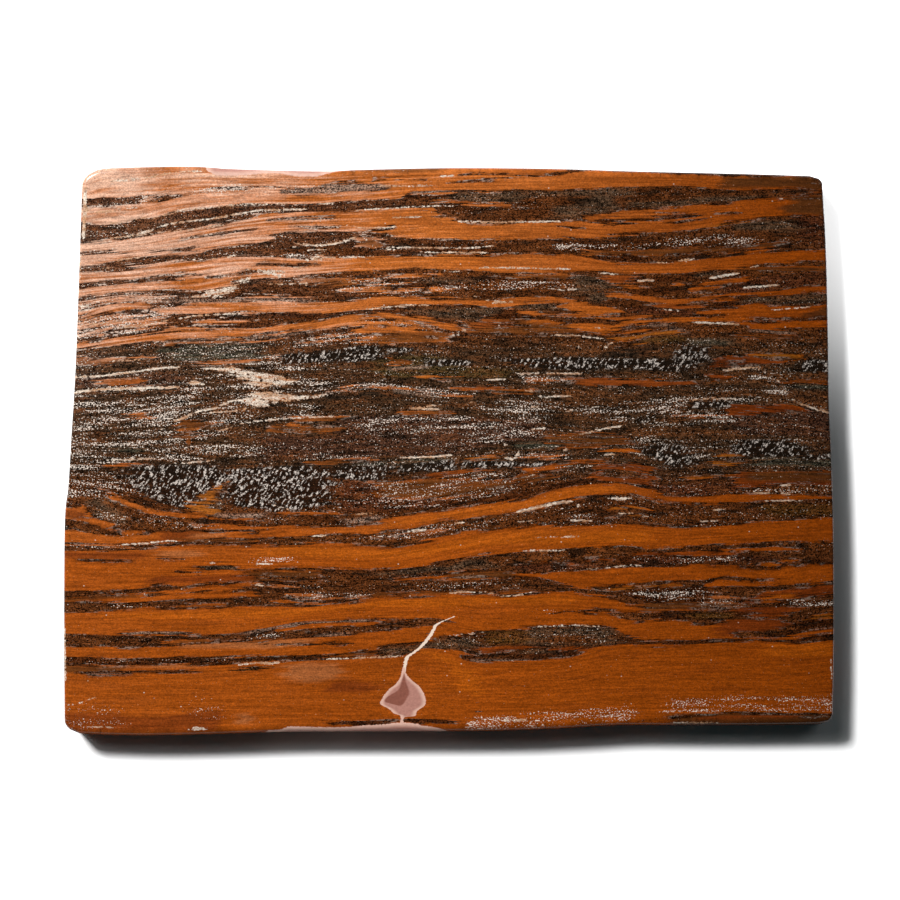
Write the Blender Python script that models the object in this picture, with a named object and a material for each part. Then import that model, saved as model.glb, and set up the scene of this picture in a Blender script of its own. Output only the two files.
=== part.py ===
"""A slab of tiger iron, sawn from the block, with a polished face, rounded corners and eased edges.

One natural piece, so one object, named slab. It lies on its sawn back.
+X runs along the longer side and +Z out of the polished face; the origin is under the
middle of the slab, on the surface that it rests on. Run it from Blender's text editor, or with
blender --background --python part.py
"""

import math

import bmesh
import bpy
from mathutils import Vector

MM = 0.001

# Driving dimensions, in millimetres.
THICKNESS = 18.0
BACK_ARRIS = 1.0  # small ground chamfer round the sawn back
STEP_ALONG_SIDE = 6.0  # spacing of the outline's points on the long gentle curves
CORNER_STEPS = 8
EASE_STEPS = 5

# The eased (rounded over) edge of the polished face, widest on the near side.
EASE = {"left": 1.6, "far": 2.2, "right": 1.4, "near": 3.2}

# How far each wall bows out at mid height: they were ground by hand and aren't quite flat.
WALL_BOW = 0.35

# Each side wanders a little. Its points run clockwise, seen from above, in millimetres.
LEFT_SIDE = [(-153.5, -104.0), (-153.6, -68.0), (-153.3, -28.0), (-151.9, -14.0),
             (-150.7, 6.0), (-149.2, 30.0), (-148.0, 60.0), (-146.6, 103.0)]
FAR_SIDE = [(-136.0, 112.9), (-112.0, 113.6), (-97.0, 113.4), (-86.0, 112.6), (-52.0, 111.7),
            (-35.0, 112.3), (0.0, 113.0), (40.0, 112.7), (76.0, 111.6), (116.0, 110.7), (139.0, 110.0)]
RIGHT_SIDE = [(148.6, 103.5), (150.2, 80.0), (151.0, 48.0), (151.4, 20.0), (152.5, -4.0),
              (153.3, -36.0), (153.4, -76.0), (152.9, -101.0)]
NEAR_SIDE = [(144.0, -109.2), (124.0, -109.5), (96.0, -109.6), (68.0, -109.5), (46.0, -110.7),
             (20.0, -111.7), (-20.0, -112.0), (-66.0, -112.2), (-98.0, -113.2), (-124.0, -113.6),
             (-143.0, -113.0)]
SIDES = [("left", LEFT_SIDE), ("far", FAR_SIDE), ("right", RIGHT_SIDE), ("near", NEAR_SIDE)]

STONE_COLOUR = (0.17, 0.063, 0.021, 1.0)
STONE_ROUGHNESS = 0.32


def smooth_curve(points, step):
    """Points about step apart on the smooth curve that passes through every given point."""
    ends = [2 * points[0] - points[1], *points, 2 * points[-1] - points[-2]]
    curve = []
    for before, start, end, after in zip(ends, ends[1:], ends[2:], ends[3:]):
        count = max(1, round((end - start).length / step))
        for i in range(count):
            t = i / count
            curve.append(0.5 * (2 * start + (end - before) * t
                                + (2 * before - 5 * start + 4 * end - after) * t ** 2
                                + (3 * start - before - 3 * end + after) * t ** 3))
    return [*curve, points[-1]]


def meeting_point(a, a_dir, b, b_dir):
    """Where the line through a along a_dir crosses the line through b along b_dir."""
    cross = a_dir.x * b_dir.y - a_dir.y * b_dir.x
    along = ((b.x - a.x) * b_dir.y - (b.y - a.y) * b_dir.x) / cross
    return a + a_dir * along


def corner_arc(a, a_dir, b, b_dir, steps):
    """Points strictly between a and b on the rounded corner that leaves a along a_dir and reaches b."""
    tip = meeting_point(a, a_dir, b, b_dir)
    # A circular arc as a rational quadratic curve: the tip's weight is the cosine of half the turn.
    weight = math.cos(a_dir.angle(b_dir) / 2)
    arc = []
    for i in range(1, steps):
        t = i / steps
        shares = (1 - t) ** 2, 2 * t * (1 - t) * weight, t ** 2
        arc.append((a * shares[0] + tip * shares[1] + b * shares[2]) / sum(shares))
    return arc


def slab_outline():
    """The slab's outline, clockwise from above: its points and the ease of the edge at each of them."""
    curves = [(EASE[name], smooth_curve([Vector(p) for p in points], STEP_ALONG_SIDE))
              for name, points in SIDES]
    points, eases = [], []
    for i, (ease, curve) in enumerate(curves):
        next_ease, next_curve = curves[(i + 1) % len(curves)]
        points += curve
        eases += [ease] * len(curve)
        arc = corner_arc(curve[-1], (curve[-1] - curve[-2]).normalized(),
                         next_curve[0], (next_curve[1] - next_curve[0]).normalized(), CORNER_STEPS)
        points += arc
        eases += [ease + (next_ease - ease) * k / CORNER_STEPS for k in range(1, CORNER_STEPS)]
    low = Vector((min(p.x for p in points), min(p.y for p in points)))
    high = Vector((max(p.x for p in points), max(p.y for p in points)))
    return [p - (low + high) / 2 for p in points], eases


def inward_normals(points):
    """The unit vector pointing into the slab at each point of its clockwise outline."""
    normals = []
    for before, after in zip([points[-1], *points[:-1]], [*points[1:], points[0]]):
        along = (after - before).normalized()
        normals.append(Vector((along.y, -along.x)))
    return normals


def wall_profile(ease):
    """The edge's section from back to face as (distance in from the outline, height) pairs."""
    wall_foot, wall_head = BACK_ARRIS, THICKNESS - ease
    profile = [(WALL_BOW + BACK_ARRIS, 0.0), (WALL_BOW, wall_foot), (0.0, (wall_foot + wall_head) / 2)]
    for i in range(EASE_STEPS + 1):
        turn = math.pi / 2 * i / EASE_STEPS
        profile.append((WALL_BOW + ease * (1 - math.cos(turn)), wall_head + ease * math.sin(turn)))
    return profile


def build_slab():
    points, eases = slab_outline()
    normals = inward_normals(points)
    mesh = bmesh.new()
    columns = [[mesh.verts.new((*((point + normal * inset) * MM), height * MM))
                for inset, height in wall_profile(ease)]
               for point, normal, ease in zip(points, normals, eases)]
    rings = list(zip(*columns))
    for lower, upper in zip(rings, rings[1:]):
        for i in range(len(lower)):
            mesh.faces.new((lower[i - 1], upper[i - 1], upper[i], lower[i]))
    mesh.faces.new(rings[0])
    mesh.faces.new(tuple(reversed(rings[-1])))
    bmesh.ops.recalc_face_normals(mesh, faces=mesh.faces)

    data = bpy.data.meshes.new("slab")
    mesh.to_mesh(data)
    mesh.free()
    data.shade_smooth()
    data.set_sharp_from_angle(angle=math.radians(40))
    slab = bpy.data.objects.new("slab", data)
    bpy.context.scene.collection.objects.link(slab)
    return slab


def stone_material():
    material = bpy.data.materials.new("tiger_iron")
    material.use_nodes = True
    shader = material.node_tree.nodes["Principled BSDF"]
    shader.inputs["Base Color"].default_value = STONE_COLOUR
    shader.inputs["Roughness"].default_value = STONE_ROUGHNESS
    shader.inputs["Metallic"].default_value = 0.0
    return material


for old in list(bpy.data.objects):
    bpy.data.objects.remove(old)
build_slab().data.materials.append(stone_material())
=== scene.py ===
"""The looks of the tiger iron slab: its banded stone, its polished face, its lighting and its camera.

Lengths are in millimetres unless a name says otherwise. x runs along the layers, from the left side to
the right side, and y across them, from the near side to the far side. A layer is a list of
(x, top, bottom), read off the photograph from left to right; a later layer lies over an earlier one. A
thread is its width and a list of (x, y).
"""

import math

import bpy
import numpy as np
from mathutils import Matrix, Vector


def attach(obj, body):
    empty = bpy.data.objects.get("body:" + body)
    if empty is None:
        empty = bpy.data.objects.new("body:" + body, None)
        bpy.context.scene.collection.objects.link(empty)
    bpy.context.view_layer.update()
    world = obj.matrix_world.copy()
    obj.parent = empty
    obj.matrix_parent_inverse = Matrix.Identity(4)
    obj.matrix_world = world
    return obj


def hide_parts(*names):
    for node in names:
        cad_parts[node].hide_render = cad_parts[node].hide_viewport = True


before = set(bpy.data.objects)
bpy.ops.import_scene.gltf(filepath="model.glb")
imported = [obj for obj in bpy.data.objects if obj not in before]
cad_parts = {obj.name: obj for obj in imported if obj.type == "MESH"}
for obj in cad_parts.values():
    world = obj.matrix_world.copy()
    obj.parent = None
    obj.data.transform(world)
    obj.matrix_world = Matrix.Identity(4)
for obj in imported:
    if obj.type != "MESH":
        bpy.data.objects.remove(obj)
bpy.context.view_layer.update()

MM = 0.001
THICKNESS = 18.0
BACK_ARRIS = 1.0
WALL_BOW = 0.35

# The slab's sides, clockwise from above, and how wide the edge of its face is eased.
LEFT_SIDE = [(-153.4, -107.0), (-153.6, -68.0), (-153.3, -28.0), (-151.9, -14.0),
             (-150.7, 6.0), (-149.2, 30.0), (-148.0, 60.0), (-146.7, 98.0), (-146.4, 105.6)]
FAR_SIDE = [(-136.0, 112.9), (-112.0, 113.6), (-97.0, 113.4), (-86.0, 112.6), (-52.0, 111.7),
            (-35.0, 112.3), (0.0, 113.0), (40.0, 112.7), (76.0, 111.6), (116.0, 110.7), (143.0, 109.9)]
RIGHT_SIDE = [(148.8, 106.2), (150.2, 80.0), (151.0, 48.0), (151.4, 20.0), (152.5, -4.0),
              (153.3, -36.0), (153.4, -76.0), (152.9, -104.4)]
NEAR_SIDE = [(148.0, -109.2), (124.0, -109.5), (96.0, -109.6), (68.0, -109.5), (46.0, -110.7),
             (20.0, -111.7), (-20.0, -112.0), (-66.0, -112.2), (-98.0, -113.2), (-124.0, -113.6),
             (-145.4, -113.0)]
SIDES = [(1.6, LEFT_SIDE), (2.2, FAR_SIDE), (1.4, RIGHT_SIDE), (3.2, NEAR_SIDE)]

# How the mesh follows the layers: how far apart its rows lie between one run and the next.
ROW_SPACINGS = [0.42, 1.3, 0.45, *[0.38] * 17, 0.5]
COLUMNS = 112
ROUGH_HALF_LENGTH = 150.0
MEETING_ROUNDS = 12
EASE_STEPS = 5
SKIN = 0.02  # keeps the looks inside the CAD part's box
LAYER_WANDER = 1.3  # how far the layers wander on their way down to the back

LIGHT_ON_FACE = 1.55  # how bright a white face would be in this lighting
WINDOW = (-0.97, 1.09, 1.7)  # where the window light hangs, in metres
CAMERA_HEIGHT = 1.0  # metres above the face
PIXEL = 0.4  # millimetres of the slab to one pixel of the photograph

# Lines that run along the layers, from the near side up: the mesh of the face follows them.
RUN_X = [-152, -128, -104, -80, -56, -32, -8, 16, 40, 64, 88, 112, 136, 152]
RUNS = [
    [-103, -103.4, -103.6, -103.6, -103.6, -104, -103.8, -103.2, -103, -102.6, -102.4, -102.4,
     -102.6, -102.6],
    [-90, -90.4, -90.2, -89.4, -89, -88.6, -88, -89, -88.6, -86, -85, -84.6, -84.4, -83],
    [-84.4, -85.3, -85, -83.7, -83, -82, -79, -83, -82.4, -77.4, -76.8, -76, -76.5, -74.5],
    [-72.7, -73.1, -73, -72, -67.9, -66.8, -66.9, -70.6, -69.8, -69.6, -68, -67.6, -68, -67],
    [-63.9, -62.8, -62.2, -61.4, -61.8, -59, -57.7, -57.4, -56.2, -58, -60.4, -60.6, -60, -58.4],
    [-56, -55.8, -53.6, -52.2, -53.4, -53.2, -51.4, -50.9, -51.8, -54, -52.2, -52.6, -52.9, -51.5],
    [-45, -45, -45.6, -46.4, -46.6, -47.7, -45.2, -41.3, -39.4, -37.9, -38.3, -37, -36, -35.8],
    [-35, -35.4, -35.4, -34.4, -33.6, -32.8, -29.4, -25.6, -20.8, -17.2, -20.6, -20.6, -19.6, -19],
    [-15, -19, -23.8, -25.2, -24.6, -26, -23.6, -19.2, -14.2, -11.8, -14.6, -13.4, -13.4, -13.6],
    [-3.4, -3.4, -5, -5, -4.2, -3.6, -2.8, -1, -0.6, 0, -2, -1, -1, -2],
    [10, 11, 14, 15.6, 13.4, 13.4, 14.2, 13.6, 12, 10, 13.2, 13.4, 11, 9],
    [21, 22.2, 24.6, 24, 22, 24.8, 23.4, 22.6, 22, 20, 20.6, 20.6, 18.8, 14.6],
    [29.2, 31, 33, 32.4, 31.4, 32.8, 33.4, 33.6, 33.4, 33.2, 32.4, 32, 31.6, 31],
    [33.8, 35.6, 35.8, 37, 39.4, 41.6, 41, 41.2, 41.2, 41.4, 43.8, 44.6, 43.4, 43.6],
    [40.8, 45.4, 48.2, 48.4, 51.3, 54.4, 52.6, 49.8, 49.6, 48.6, 50.6, 51, 50, 49.8],
    [54, 59.2, 59.2, 59.6, 59.2, 60.6, 61, 60, 61, 61.4, 60, 61.6, 63.4, 65],
    [61, 63.4, 64.4, 68, 69.4, 71.2, 72, 70.9, 70.6, 70.4, 70.6, 72.3, 71.8, 72],
    [70.6, 72, 75, 77.3, 76.4, 77.3, 78, 78.1, 78.4, 75.4, 75, 77.8, 79.6, 80.2],
    [81.8, 84.4, 88, 92.4, 95, 95.9, 97, 96.6, 97, 96, 96.4, 98.8, 100.4, 101],
    [90.6, 90.8, 95.3, 97.6, 97.9, 100, 102.2, 103.1, 103.4, 104.6, 105.2, 104, 104.2, 103.2],
]

FAR_LAYERS = [
    # the broad gold layers along the far edge
    ("gold", [(-150, 118, 91), (-140, 118, 90.2), (-112, 118, 94), (-106, 118, 95.4), (-76, 118, 98.1),
        (-48, 118, 98), (-36, 118, 99.8), (-20, 118, 100.4), (-16, 118, 101.9), (0, 118, 102.5),
        (8, 118, 103.4), (18, 118, 103), (26, 118, 103.5), (40, 118, 103.3), (52, 118, 104.3),
        (92, 118, 105.2), (116, 118, 103.6), (120, 118, 104.2), (128, 118, 103.9), (138, 118, 104.6),
        (152, 118, 103.2)]),
    ("tan", [(-146, 107.6, 101.4), (-124, 108, 102.8), (-104, 110.6, 104.8), (-84, 109.4, 106.4)]),
    ("bark", [(-40, 114, 112), (-20, 114, 110.2), (2, 114, 111.8)]),
    ("umber", [(44, 111.2, 110.4), (50, 114, 110.6), (56, 114, 111), (104, 114, 109.5), (110, 114, 108.6),
        (128, 114, 109.2), (140, 114, 108.8), (152, 114, 104)]),
    ("bark", [(108, 108.8, 104.2), (134, 109.2, 104.8), (152, 110, 103.4)]),

    # the speckled layer under them
    ("iron", [(-150, 99.9, 96.4), (-140, 100.2, 96.8), (-112, 102, 99.8), (-108, 101.6, 100.6)]),
    ("dust", [(-126, 102.2, 98.4), (-116, 102.6, 98.8), (-108, 103, 100.4), (-84, 105.9, 102.9),
        (-78, 105.9, 102.9)]),
    ("dust", [(-92, 105, 103), (-84, 105.9, 103), (-72, 106.2, 104), (-46, 106, 104.6)]),
    ("ash", [(-66, 103.2, 102.1), (-58, 103.9, 102), (-48, 106.3, 102.4), (-32, 106, 103.4),
        (-25, 105, 104.2)]),
    ("dust", [(-30, 106, 104.4), (-8, 105.8, 104.9), (-2, 105.4, 105)]),

    # the long dark layer that starts at the left side near y = 87
    ("coal", [(-116, 92.8, 90.2), (-100, 95.6, 92), (-84, 97, 94.4), (-76, 97.8, 96.3), (-46, 97.8, 96.2)]),
    ("coal", [(-18, 100.6, 99.9), (-15, 101.8, 100.2), (4, 102.6, 100.8)]),
    ("rust", [(-2, 99.9, 98.7), (4, 99.6, 98.3), (8, 98.9, 97.4), (16, 98.8, 96.9), (30, 97.2, 96.9)]),
    ("steel", [(2, 102.8, 100.2), (8, 103.2, 99), (22, 103, 98.8), (28, 103.2, 100.2), (40, 103.1, 101.2),
        (60, 104.4, 101.2), (72, 104.7, 101.8)]),
    ("steel", [(40, 97, 92.6), (50, 98.5, 92.4), (56, 101.2, 94.4), (62, 102, 95.2), (68, 99, 96.2)]),
    ("steel", [(74, 99.2, 96.9), (92, 99.6, 97.2), (100, 101, 98.2), (120, 101.4, 100.4)]),

    # gold between the two left dark layers and right of them
    ("gold", [(-150, 82, 73.4), (-142, 82.2, 73.6), (-134, 83.6, 75), (-126, 84.9, 77.2),
        (-118, 86.4, 77.5), (-100, 88.3, 77.8), (-92, 89.7, 81), (-79, 92.8, 82.2), (-76, 94, 82.4),
        (-72, 94.6, 84.8), (-64, 94.9, 87.2), (-40, 95.5, 87), (-9, 97, 84.7), (-6, 97.4, 84.5),
        (0, 91.9, 84.3), (20, 90.1, 84.1), (52, 91.1, 84.5), (58, 90, 84.9), (72, 91.8, 85.7),
        (88, 93, 87.2), (96, 97.6, 87.7), (102, 97.7, 88.5), (106, 98, 90.5), (118, 99.9, 92.2),
        (130, 100.2, 92.8), (136, 100.2, 93.6), (152, 101, 93.2)]),
    ("gold", [(52.5, 92.6, 92.3), (55, 93.5, 91.2), (64, 94.8, 91.7), (67, 96, 91.9), (71, 96.4, 92.1),
        (80, 95.9, 92.1), (94, 96.8, 93), (102, 97.6, 92.8)]),
    ("tan", [(-150, 81.8, 76.5), (-140, 82, 77.4), (-130, 83.6, 79.6), (-110, 85.6, 84), (-100, 86, 85)]),
    ("umber", [(-150, 79, 77.6), (-132, 79.8, 79.2)]),
    ("wine", [(81.5, 93.9, 92.9), (89, 94.1, 92.4), (102, 93.4, 92.8)]),
    ("bark", [(134, 101, 94.4), (152, 102, 93.4)]),

    # dark streaks in that gold
    ("iron", [(-119, 79.3, 79), (-116, 79.5, 78.3), (-113, 80, 79.2), (-108, 80.5, 78.8),
        (-100, 81.3, 79.1), (-98.5, 81.5, 81)]),
    ("dust", [(-118, 76.4, 74.8), (-98, 76.2, 75.4)]),
    ("bark", [(-37, 86.2, 82.4), (-34, 86, 81.4), (-30, 84.6, 80.4), (-26, 83.2, 81.4)]),
    ("ash", [(-150, 73, 70.8), (-143, 73, 70.8), (-139, 73, 71.6)]),
    ("iron", [(-150, 72.6, 70.4), (-138, 73, 71.4), (-134, 74.5, 71.9), (-122, 76.6, 73.4),
        (-115, 75.4, 74.6)]),
    ("bark", [(54, 79.6, 77.9), (74, 79.6, 77.6), (104, 81.4, 78.7), (134, 83.2, 81.8)]),
    ("coal", [(55, 77.7, 76.7), (60, 78, 76.1), (78, 77.2, 75.2), (86, 76.2, 75), (93, 76.2, 75.8)]),
    ("salt", [(42, 82.4, 79.6), (50, 82.8, 79.4), (66, 82.4, 80.2)]),
    ("salt", [(66, 82.6, 79.8), (74, 82.8, 79.6), (100, 86.2, 81.3), (110, 86.4, 82), (120, 85.4, 82.4),
        (134, 84.6, 83.6)]),
    ("ochre", [(102, 89.6, 89.1), (108, 90.6, 89.6), (125, 91.6, 90.6)]),
    ("steel", [(114, 90.4, 87.6), (128, 91.6, 87.2), (136, 91.4, 87), (140, 90.6, 87.8)]),
    ("wine", [(139, 93, 84), (144, 93, 81.8), (152, 93, 81)]),

    # the wide gold layer near y = 75
    ("gold", [(-150, 70.4, 60.6), (-130, 71.6, 63.2), (-112, 74.7, 63.6), (-92, 76, 64.4), (-84, 77.4, 68),
        (-68, 77.2, 68.8), (-57, 76.2, 69.4), (-50, 76.8, 69.8), (-38, 77, 71.2), (-30, 77.3, 71.2),
        (-16, 77.6, 72.5), (8, 78, 71.6), (14, 78, 70.9), (48, 78.3, 70.6), (53, 77.4, 71.2),
        (72, 74.9, 70.2), (86, 74.9, 70.2), (96, 76, 71.2), (114, 78, 72.3), (124, 79.5, 71.8),
        (130, 79.2, 71.8), (152, 80.3, 72)]),
    ("amber", [(-62, 76, 72.8), (-52, 76.4, 72), (-40, 76.4, 72.6), (-8, 77.4, 73.8), (14, 76.6, 73.6)]),
    ("rust", [(-126, 73.8, 73), (-110, 75, 74.2)]),
    ("umber", [(119, 73.2, 72.4), (124, 74.1, 72.7), (152, 75.3, 73.3)]),
    ("bark", [(114, 72.4, 71.2), (134, 73.2, 71.2), (152, 73, 71.4)]),

    # dark streaks under the wide gold layer
    ("iron", [(-150, 65.8, 63.9), (-144, 66.2, 64.5), (-138, 67, 65.8), (-116, 69.5, 68), (-111, 70, 68.2),
        (-107, 70.6, 69.4), (-102, 71.1, 69.7), (-97, 70.2, 70)]),
    ("dust", [(-120, 68.4, 67.2), (-112, 68.6, 67.6), (-105, 67.6, 67)]),
    ("umber", [(-98, 70.3, 69.9), (-92, 69.7, 68.9), (-86, 69.9, 69.1), (-78, 72.6, 71)]),
    ("umber", [(-58, 69.8, 68.6), (-50, 70.6, 69.3), (-37, 71.1, 68.8), (-33, 70.4, 68.4),
        (-28, 71.2, 67.6), (-4, 72, 65.6), (4, 71.4, 64), (50, 70.4, 63.5), (58, 70.8, 62.4),
        (66, 70.3, 62.6), (92, 70.8, 60.8), (116, 72.2, 62.4), (126, 71.8, 63), (136, 71.6, 64.8),
        (152, 71.8, 66.2)]),
    ("bark", [(-57, 69.6, 65.2), (-42, 68.3, 65.8), (-39, 67, 66)]),
    ("dust", [(-42, 69, 63), (-36, 69.6, 62.6), (-20, 68, 62), (-14, 67.4, 62.4)]),
    ("coal", [(-26, 64.6, 63.9), (-23, 65.9, 63.5), (-18, 66.1, 64.1), (-10, 65.4, 64.6)]),
    ("steel", [(-16, 67.9, 67.2), (-3, 69.2, 66.4), (12, 68.9, 67.8)]),
    ("gold", [(-25, 70.4, 69.4), (-18, 69.9, 69.1), (-10, 70, 69.4), (-4, 70.6, 69.9)]),
    ("dust", [(-12, 66.2, 63.2), (-6, 66, 62.8), (6, 66, 63.6)]),
    ("bark", [(15, 70, 68.7), (44, 69.9, 68.4), (52, 69.4, 68.8)]),
    ("coal", [(-2, 68.9, 68.1), (14, 68.8, 68), (26, 68.3, 67.6), (38, 68.2, 67.5), (50, 68.5, 67.8)]),
    ("salt", [(-2, 67.9, 63.9), (48, 67.5, 64.2), (53, 67, 64.2)]),
    ("steel", [(50, 69.8, 62.5), (54, 70.2, 61), (60, 69.6, 58.8), (64, 67, 58.4)]),
    ("rust", [(58, 69.6, 68.2), (66, 70, 66.6), (76, 68.8, 67.4)]),
    ("amber", [(67, 66.3, 65.6), (72, 66, 65), (84, 65.3, 64.7), (89, 66.2, 65.2), (92, 66.4, 65.6)]),
    ("coal", [(72, 68.6, 66.2), (96, 70.3, 66.9), (108, 71.5, 68.4), (119, 70.6, 70)]),
    ("steel", [(98, 70.4, 68.6), (110, 71.6, 70.4)]),
    ("gold", [(95, 64.9, 63.4), (99, 66, 63.6), (114, 69, 66.8), (117, 69.9, 67.8), (120, 69.3, 68.7)]),
    ("coal", [(74, 64, 62.8), (89, 65.1, 62.3), (95, 63.8, 62)]),
    ("wine", [(106, 64.6, 62.2), (114, 66.4, 62.8), (122, 68.8, 63.2), (132, 70.2, 64.6),
        (152, 71.4, 66.6)]),
]

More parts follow.
